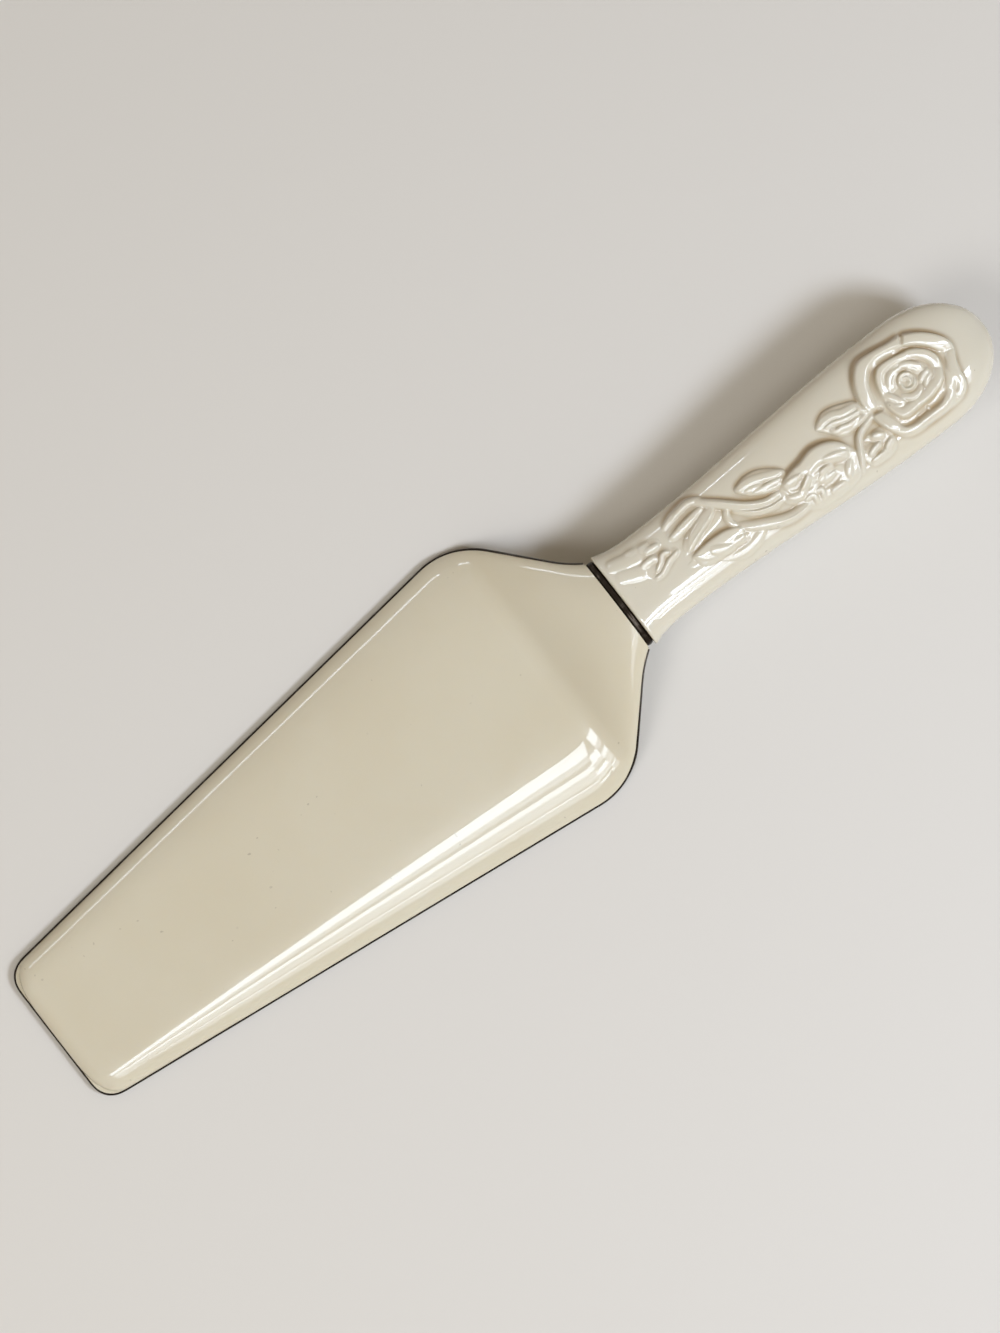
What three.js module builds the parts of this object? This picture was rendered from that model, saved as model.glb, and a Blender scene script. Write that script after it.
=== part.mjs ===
import * as THREE from "three";

// A porcelain cake server: a flat blade that widens from its tip and bends up into a short neck,
// and a hollow handle bedded on the neck's tang, with a rose branch in relief on its top.
// Millimetres. +X runs from the blade's tip to the handle's end, +Y across, +Z up from the table.
// The origin is on the table, under the middle of the whole length.

const { degToRad, lerp, smoothstep, clamp } = THREE.MathUtils;

// Lengths along the server, measured from the tip
const bladeLength = 139.6;
const neckLength = 23.35;
const bandLength = 1.75;
const handleLength = 102.3;

// Plan of the blade and neck, out to the metal line on the edge
const tipHalfWidth = 18.9; // where the long sides would meet the tip if its corners were sharp
const shoulderHalfWidth = 34.5;
const shoulderRadius = 17.5;
const shoulderAngle = degToRad(49);
const neckHalfWidth = 12.45;
const neckFlareRadius = 31;
const neckEndAngle = degToRad(34.8);

// Thickness and height of the blade and neck
const tipThickness = 4.2;
const bladeThickness = 5.4;
const edgeThickness = 1.3;
const edgeLift = 0.4; // how far the edge's underside clears the table
const neckThickness = 10.8;
const neckEdgeThickness = 3;
const handleHeight = 11.5; // middle of the neck's end above the table
const bendLength = 4;
const neckEndSlopeShare = 0.6; // slope at the neck's end, as a share of the neck's mean slope

// Rounding of the top and underside down to the edge
const tipRoll = 6.5;
const shoulderRoll = 28;
const underRoll = 2.2;
const cornerPower = 2.7; // shape of the tip's corners in plan
const domePower = 3; // how the blade's top falls off: a wide flat middle and steeper sides
const neckPower = 2;
const neckRoundness = 0.62; // with a power of 2, 1 is a parabola and 0.5 an ellipse

// Metal line, band, tang and joint
const clearance = 0.3; // left between any two pieces
const trimThickness = 0.5;
const trimBulge = 0.15;
const bandDepth = 0.45; // how far the band lies under the neck's surface
const bandThickness = 0.7;
const bandBulge = 0.12;
const tangLength = 30;
const tangHalfWidth = 5.2;
const tangHalfThickness = 2.2;
const tangTaperShare = 0.85;
const seatPower = 2.3; // roundness of the band's and the tang's section, where 2 is an ellipse

// Handle
const frontHalfWidth = 12.5;
const waistHalfWidth = 10.9;
const waistPlace = 11.8; // from the handle's front
const fullHalfWidth = 14.1;
const fullPlace = 78.8;
const endRound = 18.7;
const frontHalfThickness = 5.7;
const waistHalfThickness = 5.4;
const fullHalfThickness = 6.7;
const handleRise = 4; // climb of the handle's middle line from front to end
const handlePower = 3.2; // roundness of its section: a nearly flat top and full sides
const frontRound = 0.7;
const handleWall = 2.6;

// Relief
const reliefStart = 0.8; // from the handle's front to the start of the drawing
const leafHeight = 1.45;
const stemHeight = 1.35;
const petalHeight = 1.65;
const heartHeight = 2.1;
const foldedHeight = 1.9;
const reliefEdge = 0.65; // height of a sprig's border above the handle
const veinDepth = 0.3;
const leafEndHalfWidth = 0.25;
const normalStep = 0.05;

// Places derived from the lengths above
const neckEnd = bladeLength + neckLength;
const handleStart = neckEnd + bandLength;
const overallLength = handleStart + handleLength;
const tipX = -overallLength / 2;
const handleX = tipX + handleStart;
const trimInset = clearance + trimThickness;

const porcelain = new THREE.MeshStandardMaterial({ color: 0xd6d0bb, roughness: 0.12, metalness: 0 });
const relief = new THREE.MeshStandardMaterial({ color: 0xdcd7c5, roughness: 0.12, metalness: 0 });
const platinum = new THREE.MeshStandardMaterial({ color: 0xb9b4ae, roughness: 0.15, metalness: 1 });
const cement = new THREE.MeshStandardMaterial({ color: 0xc4c0b4, roughness: 0.9, metalness: 0 });

const server = new THREE.Group();

function addPiece(name, geometry, material) {
  const mesh = new THREE.Mesh(geometry, material);
  mesh.name = name;
  server.add(mesh);
}

// A closed solid through a row of closed loops of one count. The ends are capped loop half to
// loop half, unless ring joins the last loop to the first. A loop of one point ends in a fan.
function loft(loops, ring = false) {
  const positions = [];
  const triangles = [];
  const starts = [];
  const count = Math.max(...loops.map((loop) => loop.length));
  for (const loop of loops) {
    starts.push(positions.length / 3);
    for (const point of loop) positions.push(point.x, point.y, point.z);
  }
  const at = (row, k) => starts[row] + (loops[row].length === 1 ? 0 : k % count);
  const samePlace = (a, b) => [0, 1, 2].every((i) => positions[3 * a + i] === positions[3 * b + i]);
  const face = (a, b, c) => {
    if (!samePlace(a, b) && !samePlace(b, c) && !samePlace(c, a)) triangles.push(a, b, c);
  };
  const rows = loops.length;
  for (let row = 0; row < (ring ? rows : rows - 1); row++) {
    const next = (row + 1) % rows;
    for (let k = 0; k < count; k++) {
      face(at(row, k), at(next, k), at(next, k + 1));
      face(at(row, k), at(next, k + 1), at(row, k + 1));
    }
  }
  if (!ring) {
    for (let k = 0; k < count / 2 - 1; k++) {
      const across = count - 1 - k;
      face(at(0, k), at(0, k + 1), at(0, across));
      face(at(0, k + 1), at(0, across - 1), at(0, across));
      face(at(rows - 1, k), at(rows - 1, across), at(rows - 1, k + 1));
      face(at(rows - 1, k + 1), at(rows - 1, across), at(rows - 1, across - 1));
    }
  }
  const geometry = new THREE.BufferGeometry();
  geometry.setAttribute("position", new THREE.Float32BufferAttribute(positions, 3));
  geometry.setIndex(signedVolume(positions, triangles) < 0 ? triangles.reverse() : triangles);
  geometry.computeVertexNormals();
  return geometry;
}

function signedVolume(positions, triangles) {
  const corner = (index) => new THREE.Vector3().fromArray(positions, 3 * index);
  let volume = 0;
  for (let i = 0; i < triangles.length; i += 3) {
    const [a, b, c] = triangles.slice(i, i + 3).map(corner);
    volume += a.dot(b.cross(c)) / 6;
  }
  return volume;
}

const span = (from, to, steps) => Array.from({ length: steps + 1 }, (_, i) => lerp(from, to, i / steps));

// Plan outline: a straight side, the round shoulder, a straight slope and the hollow flare of the neck
const flareLength = neckFlareRadius * (Math.sin(shoulderAngle) - Math.sin(neckEndAngle));
const flareRise = neckFlareRadius * (Math.cos(neckEndAngle) - Math.cos(shoulderAngle));
const slopeEnd = neckEnd - flareLength;
const slopeStartHalf = shoulderHalfWidth - shoulderRadius * (1 - Math.cos(shoulderAngle));
const slopeStart = slopeEnd - (slopeStartHalf - neckHalfWidth - flareRise) / Math.tan(shoulderAngle);
const widestPlace = slopeStart - shoulderRadius * Math.sin(shoulderAngle);
const shoulderCentreRise = shoulderHalfWidth - shoulderRadius - tipHalfWidth;
const taper =
  Math.atan2(shoulderCentreRise, widestPlace) +
  Math.asin(shoulderRadius / Math.hypot(shoulderCentreRise, widestPlace));
const shoulderStart = widestPlace - shoulderRadius * Math.sin(taper);

// Half width of the metal line's outer side at a place along the server, and the side's lean there
function sideAt(place) {
  if (place < shoulderStart) {
    return { half: tipHalfWidth + place * Math.tan(taper), lean: taper };
  }
  if (place < slopeStart) {
    const lean = Math.asin((widestPlace - place) / shoulderRadius);
    return { half: shoulderHalfWidth - shoulderRadius * (1 - Math.cos(lean)), lean };
  }
  if (place < slopeEnd) {
    return { half: slopeStartHalf - (place - slopeStart) * Math.tan(shoulderAngle), lean: -shoulderAngle };
  }
  const lean = -Math.asin(Math.sin(neckEndAngle) + (neckEnd - place) / neckFlareRadius);
  return { half: neckHalfWidth + neckFlareRadius * (Math.cos(neckEndAngle) - Math.cos(lean)), lean };
}

function porcelainHalf(place) {
  const side = sideAt(place);
  return side.half - trimInset / Math.cos(side.lean);
}

// Height gained by a line that leaves the blade at the bend and has climbed by rise at the neck's end
function climb(place, rise) {
  const run = place - bladeLength;
  if (run <= 0) return 0;
  const rest = neckLength - bendLength;
  const endSlope = (neckEndSlopeShare * rise) / neckLength;
  const steepest = (2 * rise - endSlope * rest) / neckLength;
  if (run < bendLength) return (steepest * run * run) / (2 * bendLength);
  const past = run - bendLength;
  return (steepest * bendLength) / 2 + steepest * past + ((endSlope - steepest) * past * past) / (2 * rest);
}

const edgeMiddle = edgeLift + edgeThickness / 2;
const neckShare = (place) => smoothstep(place, bladeLength, neckEnd);
const edgeHeight = (place) => edgeMiddle + climb(place, handleHeight - edgeMiddle);
const edgeThicknessAt = (place) => lerp(edgeThickness, neckEdgeThickness, neckShare(place));
const roundness = (place) => lerp(1, neckRoundness, neckShare(place));

function topHeight(place, fall) {
  const blade = lerp(tipThickness, bladeThickness, clamp(place / bladeLength, 0, 1));
  const middle = blade + climb(place, handleHeight + neckThickness / 2 - bladeThickness);
  const edge = edgeHeight(place) + edgeThicknessAt(place) / 2;
  const power = lerp(domePower, neckPower, neckShare(place));
  return edge + (middle - edge) * Math.max(0, 1 - fall ** power) ** roundness(place);
}

function undersideHeight(place, fall) {
  const middle = climb(place, handleHeight - neckThickness / 2);
  const edge = edgeHeight(place) - edgeThicknessAt(place) / 2;
  return edge + (middle - edge) * Math.max(0, 1 - fall * fall) ** roundness(place);
}

function topRoll(place) {
  const half = porcelainHalf(place);
  const wanted =
    place < widestPlace
      ? lerp(tipRoll, shoulderRoll, place / widestPlace)
      : lerp(shoulderRoll, porcelainHalf(neckEnd), smoothstep(place, widestPlace, neckEnd));
  return Math.min(wanted, half);
}

const flatShares = [0, 0.5, 1];
const rollShares = [0.3, 0.55, 0.8, 1];
const joinPowers = (a, b) => (a ** cornerPower + b ** cornerPower) ** (1 / cornerPower);

// Half a cross-section of the porcelain, from the middle line to the edge, as [across, fall] pairs.
// Fall is 0 on the flat and 1 at the edge; nearTip is 1 at the tip's edge and 0 past its rounding.
function halfColumns(outer, roll, nearTip) {
  const reach = (1 - nearTip ** cornerPower) ** (1 / cornerPower);
  const flat = outer - roll * reach;
  const columns = flatShares.map((share) => [flat * share, nearTip]);
  for (const share of rollShares) {
    columns.push([flat + roll * reach * share, joinPowers(reach * share, nearTip)]);
  }
  return columns;
}

// Closed loop at one place: the top from +Y to -Y, then the underside back
function bladeLoop(place, nearTip) {
  const roll = topRoll(place);
  const reach = (1 - nearTip ** cornerPower) ** (1 / cornerPower);
  const outer = porcelainHalf(place) - roll * (1 - reach);
  const under = Math.min(lerp(underRoll, outer, neckShare(place)), outer);
  const nearTipUnder = clamp(1 - (place - trimInset) / underRoll, 0, 1);
  const top = halfColumns(outer, roll, nearTip).map(([y, fall]) => [y, topHeight(place, fall)]);
  const below = halfColumns(outer, under, nearTipUnder).map(([y, fall]) => [y, undersideHeight(place, fall)]);
  return mirrorLoop(place, top, below);
}

function mirrorLoop(place, top, below) {
  const point = (y, z) => new THREE.Vector3(tipX + place, y, z);
  const left = (half) => [...half].reverse().map(([y, z]) => point(y, z));
  const right = (half) => half.slice(1).map(([y, z]) => point(-y, z));
  return [...left(top), ...right(top), ...right(below).reverse(), ...left(below).reverse()];
}

// Oval loop with the blade's own columns, for the band's seat and the tang
function seatLoop(place, halfWidth, halfThickness, height) {
  const outer = porcelainHalf(neckEnd);
  const shares = halfColumns(outer, topRoll(neckEnd), 0).map(([y]) => y / outer);
  const rim = (share) => halfThickness * (1 - share ** seatPower) ** (1 / seatPower);
  const top = shares.map((share) => [share * halfWidth, height + rim(share)]);
  const below = shares.map((share) => [share * halfWidth, height - rim(share)]);
  return mirrorLoop(place, top, below);
}

const tipNearShares = [1, 0.97, 0.88, 0.7, 0.45, 0.2];
const straightSteps = 6;
const shoulderSteps = 4;
const bendSteps = 3;
const neckSteps = 9;
const tipRows = tipNearShares.map((nearTip) => [trimInset + tipRoll * (1 - nearTip), nearTip]);
const sideRows = [
  ...span(trimInset + tipRoll, shoulderStart, straightSteps),
  ...span(shoulderStart, bladeLength, shoulderSteps).slice(1),
  ...span(bladeLength, bladeLength + bendLength, bendSteps).slice(1),
  ...span(bladeLength + bendLength, neckEnd, neckSteps).slice(1),
].map((place) => [place, 0]);
const bladeLoops = [...tipRows, ...sideRows].map(([place, nearTip]) => bladeLoop(place, nearTip));

const handleMiddle = (u) => handleHeight + handleRise * (u / handleLength);
const seatHalfWidth = porcelainHalf(neckEnd) - bandDepth - bandThickness - clearance;
const seatHalfThickness = neckThickness / 2 - bandDepth - bandThickness - clearance;

function makeBlade() {
  const seatEnd = handleStart - clearance;
  const tangEnd = handleStart + tangLength;
  const loops = [
    ...bladeLoops,
    seatLoop(neckEnd, seatHalfWidth, seatHalfThickness, handleHeight),
    seatLoop(seatEnd, seatHalfWidth, seatHalfThickness, handleHeight),
    seatLoop(seatEnd, tangHalfWidth, tangHalfThickness, handleHeight),
    seatLoop(
      tangEnd,
      tangHalfWidth * tangTaperShare,
      tangHalfThickness * tangTaperShare,
      handleMiddle(tangLength),
    ),
  ];
  addPiece("blade", loft(loops), porcelain);
}

// The metal line runs along the edge from one side of the neck round the tip to the other
function makeEdgeTrim() {
  const topHalf = flatShares.length + rollShares.length;
  const columns = 2 * topHalf - 1;
  const side = (column) => bladeLoops.map((loop) => loop[column].clone());
  const path = [...side(0).reverse(), ...side(columns - 1)];
  const rowPlaces = [...tipRows, ...sideRows].map(([place]) => place);
  const places = [...[...rowPlaces].reverse(), ...rowPlaces];
  const outward = (i) => {
    const ahead = path[Math.min(i + 1, path.length - 1)];
    const behind = path[Math.max(i - 1, 0)];
    const along = new THREE.Vector2(ahead.x - behind.x, ahead.y - behind.y).normalize();
    return new THREE.Vector2(along.y, -along.x);
  };
  const loops = path.map((point, i) => {
    const out = outward(i);
    const half = edgeThicknessAt(places[i]) / 2;
    const height = edgeHeight(places[i]);
    const corner = (depth, z) =>
      new THREE.Vector3(
        i === 0 || i === path.length - 1 ? point.x : point.x + out.x * depth,
        point.y + out.y * depth,
        z,
      );
    return [
      corner(clearance, height + half),
      corner(trimInset - trimBulge, height + half),
      corner(trimInset, height),
      corner(trimInset - trimBulge, height - half),
      corner(clearance, height - half),
      corner(clearance, height),
    ];
  });
  addPiece("edge_trim", loft(loops), platinum);
}

function makeNeckBand() {
  const inner = (place) => ring(place, clearance);
  const outer = (place, more) => ring(place, clearance + bandThickness + more);
  const ring = (place, out) =>
    seatLoop(place, seatHalfWidth + out, seatHalfThickness + out, handleHeight);
  const from = neckEnd + clearance;
  const to = handleStart - clearance;
  const loops = [inner(from), outer(from, 0), outer((from + to) / 2, bandBulge), outer(to, 0), inner(to)];
  addPiece("neck_band", loft(loops, true), platinum);
}

// Handle: half width and half thickness at a distance u from its front
function handleHalf(u, front, waist, full) {
  const growth = lerp(waist, full, smoothstep(u, waistPlace, fullPlace));
  const flare = (front - waist) * Math.max(0, 1 - u / waistPlace) ** 3;
  const intoEnd = clamp((u - handleLength + endRound) / endRound, 0, 1);
  return (growth + flare) * Math.sqrt(1 - intoEnd * intoEnd);
}
const handleHalfWidth = (u) => handleHalf(u, frontHalfWidth, waistHalfWidth, fullHalfWidth);
const handleHalfThickness = (u) => handleHalf(u, frontHalfThickness, waistHalfThickness, fullHalfThickness);

const handleSides = 36;
function handleLoop(u, halfWidth, halfThickness) {
  const shape = (value) => Math.sign(value) * Math.abs(value) ** (2 / handlePower);
  return Array.from({ length: handleSides }, (_, k) => {
    const angle = (2 * Math.PI * (k + 1 / 2)) / handleSides;
    const y = halfWidth * shape(Math.cos(angle));
    const z = halfThickness * shape(Math.sin(angle));
    return new THREE.Vector3(handleX + u, y, handleMiddle(u) + z);
  });
}
const handlePole = (u) => [new THREE.Vector3(handleX + u, 0, handleMiddle(u))];

const bodySteps = 14;
const capSteps = 7;
const cavitySteps = 8;
const quarter = Math.PI / 2;
function makeHandleShell() {
  const outside = (u, inset) => handleLoop(u, handleHalfWidth(u) - inset, handleHalfThickness(u) - inset);
  const capStart = handleLength - endRound;
  const cap = span(0, quarter, capSteps).slice(1, -1).map((angle) => capStart + endRound * Math.sin(angle));
  const outerLoops = [
    outside(0, frontRound),
    ...[frontRound, ...span(0, capStart, bodySteps).slice(1), ...cap].map((u) => outside(u, 0)),
    handlePole(handleLength),
  ];
  const cavityCapStart = capStart - handleWall;
  const cavityCap = span(0, quarter, capSteps).slice(1, -1).map((angle) => [
    cavityCapStart + endRound * Math.sin(angle),
    Math.cos(angle),
  ]);
  const innerLoops = [
    ...span(0, cavityCapStart, cavitySteps).map((u) => outside(u, handleWall)),
    ...cavityCap.map(([u, share]) =>
      handleLoop(
        u,
        (handleHalfWidth(cavityCapStart) - handleWall) * share,
        (handleHalfThickness(cavityCapStart) - handleWall) * share,
      ),
    ),
    handlePole(cavityCapStart + endRound),
  ];
  addPiece("handle_shell", loft([...innerLoops.reverse(), ...outerLoops]), porcelain);
}

// Cement that fills the socket round the tang
const cementSteps = 5;
function makeTangCement() {
  const socket = (u) => {
    const inset = handleWall + clearance;
    return handleLoop(u, handleHalfWidth(u) - inset, handleHalfThickness(u) - inset);
  };
  const bore = (u) => {
    const size = lerp(1, tangTaperShare, u / tangLength);
    return handleLoop(u, tangHalfWidth * size + clearance, tangHalfThickness * size + clearance);
  };
  const places = span(clearance, tangLength, cementSteps);
  const loops = [...places.map(socket), ...[...places].reverse().map(bore)];
  addPiece("tang_cement", loft(loops, true), cement);
}

// A point over the handle's top at (u, v), raised square to the surface
function onHandle(u, v, raise) {
  const height = (a, b) => {
    const across = Math.min(1, Math.abs(b) / handleHalfWidth(a)) ** handlePower;
    return handleMiddle(a) + handleHalfThickness(a) * (1 - across) ** (1 / handlePower);
  };
  const slopeU = (height(u + normalStep, v) - height(u - normalStep, v)) / (2 * normalStep);
  const slopeV = (height(u, v + normalStep) - height(u, v - normalStep)) / (2 * normalStep);
  const normal = new THREE.Vector3(-slopeU, -slopeV, 1).normalize();
  return new THREE.Vector3(handleX + u, v, height(u, v)).addScaledVector(normal, raise);
}

// One sprig of the relief. place(along, across) gives u, v and the height at along 0 to 1 and
// across -1 to 1; the back follows the handle at the clearance. A ring closes on itself.
function sprig(name, rows, columns, place, ring = false) {
  const acrosses = span(-1, 1, columns);
  const loops = Array.from({ length: ring ? rows : rows + 1 }, (_, row) => {
    const points = acrosses.map((across) => place(row / rows, across));
    const front = points.map(([u, v, height]) => onHandle(u, v, height));
    const back = points.map(([u, v]) => onHandle(u, v, clearance)).reverse();
    return [...front, ...back];
  });
  addPiece(name, loft(loops, ring), relief);
}

// The relief is one drawing, across in shares of reliefSize and along in shares of reliefLength.
// The handle size with the least room for it sets its scale.
const sizePerLengthShare = 0.13892;
const sizePerWaistShare = 1.2936;
const reliefSize = Math.min(
  fullHalfWidth,
  waistHalfWidth * sizePerWaistShare,
  handleLength * sizePerLengthShare,
);
const reliefLength = reliefSize / sizePerLengthShare;
const fromShares = ([along, across]) =>
  new THREE.Vector3(reliefStart + along * reliefLength, across * reliefSize, 0);

const leaves = {
  leaf_by_rose: { baseShares: [0.653, 0.17], tipShares: [0.56, 0.29], halfWidthShare: 0.215, bowShare: 0.02 },
  rosebud: { baseShares: [0.664, -0.33], tipShares: [0.594, -0.71], halfWidthShare: 0.165, bowShare: -0.03 },
  leaf_mid_handle: { baseShares: [0.436, 0.15], tipShares: [0.346, 0.34], halfWidthShare: 0.18, bowShare: 0.03 },
  leaf_stem_upper: { baseShares: [0.258, 0.2], tipShares: [0.182, 0.07], halfWidthShare: 0.125, bowShare: 0.02 },
  leaf_stem_lower: { baseShares: [0.315, -0.5], tipShares: [0.176, -0.08], halfWidthShare: 0.17, bowShare: 0.02 },
  leaf_branch_tip: { baseShares: [0.222, 0.49], tipShares: [0.155, 0.57], halfWidthShare: 0.1, bowShare: 0.01 },
  leaf_front_upper: { baseShares: [0.137, 0.46], tipShares: [0.018, 0.6], halfWidthShare: 0.11, bowShare: 0.02 },
  leaf_front_lower: { baseShares: [0.145, 0.02], tipShares: [0.02, 0.33], halfWidthShare: 0.13, bowShare: 0.04 },
};
const leafRows = 9;
const leafColumns = 6;

function leafPlace(leaf, ridge) {
  const base = fromShares(leaf.baseShares);
  const tip = fromShares(leaf.tipShares);
  const direction = tip.clone().sub(base).normalize();
  const side = new THREE.Vector3(-direction.y, direction.x, 0);
  const halfWidth = leaf.halfWidthShare * reliefSize;
  return (along, across) => {
    const swell = Math.sin(Math.PI * along ** leafSwellPower) ** leafSharpness;
    const width = leafEndHalfWidth + (halfWidth - leafEndHalfWidth) * swell;
    const bow = leaf.bowShare * reliefSize * Math.sin(Math.PI * along);
    const point = base.clone().lerp(tip, along).addScaledVector(side, bow + across * width);
    const vein = veinDepth * Math.max(0, 1 - Math.abs(across) / veinShare) * swell;
    return [point.x, point.y, reliefEdge + (ridge - reliefEdge) * (1 - across * across) * swell - vein];
  };
}
const leafSwellPower = 0.85;
const leafSharpness = 0.75;
const veinShare = 0.3;

function makeLeaves() {
  for (const [name, leaf] of Object.entries(leaves)) {
    sprig(name, leafRows, leafColumns, leafPlace(leaf, leafHeight));
  }
}

// The big leaf in the middle lies folded over, so its crest winds from side to side
const foldedLeaf = { baseShares: [0.432, -0.2], tipShares: [0.568, -0.17], halfWidthShare: 0.33, bowShare: -0.02 };
const foldShare = 0.35;
const foldTurns = 1.5;
function makeFoldedLeaf() {
  const place = leafPlace(foldedLeaf, reliefEdge);
  const rise = foldedHeight - reliefEdge;
  sprig("folded_leaf", leafRows, leafColumns + 2, (along, across) => {
    const [u, v, height] = place(along, across);
    const crest = foldShare * Math.sin(2 * Math.PI * foldTurns * along);
    const offCrest = clamp((across - crest) / (1 + foldShare), -1, 1);
    return [u, v, height + rise * Math.cos(quarter * offCrest) ** 2 * Math.sin(Math.PI * along) ** leafSharpness];
  });
}

// Stems as points from end to end
const mainStemShares = [[0.238, 0.63], [0.278, 0.32], [0.32, 0.01], [0.37, -0.22], [0.412, -0.21]];
const sideStemShares = [[0.298, -0.06], [0.333, -0.29], [0.387, -0.51], [0.44, -0.62], [0.474, -0.61]];
const roseStemShares = [[0.662, -0.06], [0.62, -0.18], [0.59, -0.42], [0.57, -0.62]];
const stemRows = 14;
const stemColumns = 4;
const stemThinShare = 0.4; // half width at a stem's ends
const stemWidthShare = 0.0674;
const thinStemWidthShare = 0.039;

function makeStem(name, shares, widthShare) {
  const halfWidth = widthShare * reliefSize;
  const curve = new THREE.CatmullRomCurve3(shares.map(fromShares));
  sprig(name, stemRows, stemColumns, (along, across) => {
    const middle = curve.getPoint(along);
    const tangent = curve.getTangent(along);
    const swell = Math.sqrt(Math.sin(Math.PI * clamp(along, 0, 1)));
    const width = halfWidth * lerp(stemThinShare, 1, swell) * across;
    const round = Math.sqrt(Math.max(0, 1 - across * across));
    const height = reliefEdge + (stemHeight - reliefEdge) * round * swell;
    return [middle.x - tangent.y * width, middle.y + tangent.x * width, height];
  });
}

// Rose: an outer ring of petals with a many-sided outline, an inner ring of petals and the heart
const roseShares = [0.775, 0];
const rimDegrees = [-200, -172, -130, -69, -42, 7, 66, 117];
const rimRadiusShares = [0.87, 0.74, 0.8, 0.8, 0.9, 0.96, 0.74, 0.93];
const innerPetalsShare = 0.489;
const heartShare = 0.22;
const innerPetalsRadius = innerPetalsShare * reliefSize;
const heartRadius = heartShare * reliefSize;
const innerPetals = 5;
const petalWave = 0.35;
const petalCrestPower = 1.6;
const roseRows = 40;
const innerRows = 30;
const petalColumns = 4;
const heartCells = 8;
const heartTurn = 1.4; // distance between turns of the heart's spiral

function rimRadius(angle) {
  const turn = rimDegrees.map(degToRad);
  const wrapped = angle - 2 * Math.PI * Math.floor((angle - turn[0]) / (2 * Math.PI));
  let k = 0;
  while (k + 1 < turn.length && wrapped >= turn[k + 1]) k++;
  const last = k + 1 === turn.length;
  const end = last ? turn[0] + 2 * Math.PI : turn[k + 1];
  const blend = smoothstep(wrapped, turn[k], end);
  return reliefSize * lerp(rimRadiusShares[k], rimRadiusShares[last ? 0 : k + 1], blend);
}

function petalRing(name, rows, inside, outside, crest) {
  const centre = fromShares(roseShares);
  sprig(
    name,
    rows,
    petalColumns,
    (along, across) => {
      const angle = 2 * Math.PI * along;
      const out = (across + 1) / 2;
      const radius = lerp(inside, outside(angle), out);
      const wave = 1 - petalWave / 2 + (petalWave / 2) * Math.cos(innerPetals * angle);
      const height = reliefEdge + (crest - reliefEdge) * Math.sin(Math.PI * out ** petalCrestPower) * wave;
      return [centre.x + radius * Math.cos(angle), centre.y + radius * Math.sin(angle), height];
    },
    true,
  );
}

function makeRose() {
  petalRing("rose_outer_petals", roseRows, innerPetalsRadius + clearance, rimRadius, petalHeight);
  petalRing("rose_inner_petals", innerRows, heartRadius + clearance, () => innerPetalsRadius, petalHeight);
  const centre = fromShares(roseShares);
  sprig("rose_heart", heartCells, heartCells, (along, across) => {
    const other = 2 * along - 1;
    const x = heartRadius * other * Math.sqrt(1 - (across * across) / 2);
    const y = heartRadius * across * Math.sqrt(1 - (other * other) / 2);
    const radius = Math.hypot(x, y);
    const spiral = Math.cos(Math.atan2(y, x) - (2 * Math.PI * radius) / heartTurn);
    const dome = 1 - (radius / heartRadius) ** 2;
    const height = reliefEdge + (heartHeight - reliefEdge) * Math.sqrt(Math.max(0, dome));
    return [centre.x + x, centre.y + y, height + veinDepth * spiral * dome];
  });
}

makeBlade();
makeEdgeTrim();
makeNeckBand();
makeHandleShell();
makeTangCement();
makeRose();
makeStem("main_stem", mainStemShares, stemWidthShare);
makeStem("side_stem", sideStemShares, stemWidthShare);
makeStem("rose_stem", roseStemShares, thinStemWidthShare);
makeLeaves();
makeFoldedLeaf();

export default server;
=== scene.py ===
from math import atan2, cos, pi, radians, sin, tan

import bmesh
import bpy
import numpy as np
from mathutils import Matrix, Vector


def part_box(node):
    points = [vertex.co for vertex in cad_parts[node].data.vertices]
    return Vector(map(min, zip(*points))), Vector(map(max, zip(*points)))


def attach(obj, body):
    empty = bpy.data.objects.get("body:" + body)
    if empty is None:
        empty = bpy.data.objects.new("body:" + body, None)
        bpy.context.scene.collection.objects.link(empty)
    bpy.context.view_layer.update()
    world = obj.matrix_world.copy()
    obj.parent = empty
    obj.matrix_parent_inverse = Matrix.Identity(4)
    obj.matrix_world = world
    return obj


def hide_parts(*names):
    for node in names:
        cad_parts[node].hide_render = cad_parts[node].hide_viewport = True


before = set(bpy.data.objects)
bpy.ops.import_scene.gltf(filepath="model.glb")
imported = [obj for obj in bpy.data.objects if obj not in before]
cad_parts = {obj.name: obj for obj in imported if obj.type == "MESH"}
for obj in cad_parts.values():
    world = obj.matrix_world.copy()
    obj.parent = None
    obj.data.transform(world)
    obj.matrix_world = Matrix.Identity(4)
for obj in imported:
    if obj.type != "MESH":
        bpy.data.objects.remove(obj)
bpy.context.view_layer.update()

# A porcelain cake server on a pale floor. The server's sizes are millimetres, and MM turns them into
# Blender's metres. +X runs from the blade's tip to the handle's end, +Z up from the table.

MM = 0.001


def box_mm(node):
    low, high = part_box(node)
    return np.array(low) / MM, np.array(high) / MM


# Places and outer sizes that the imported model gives, its tip a hair inside
HAIR = 0.001
line_low, line_high = box_mm("edge_trim")
band_low, band_high = box_mm("neck_band")
shell_low, shell_high = box_mm("handle_shell")
TIP_X = line_low[0] + HAIR
NECK_END = line_high[0] - TIP_X
SHOULDER_HALF = line_high[1]
HANDLE_X = shell_low[0]
HANDLE_LENGTH = shell_high[0] - shell_low[0]
FULL_HALF = shell_high[1]
BAND_HEIGHT = (band_low[2] + band_high[2]) / 2

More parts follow.
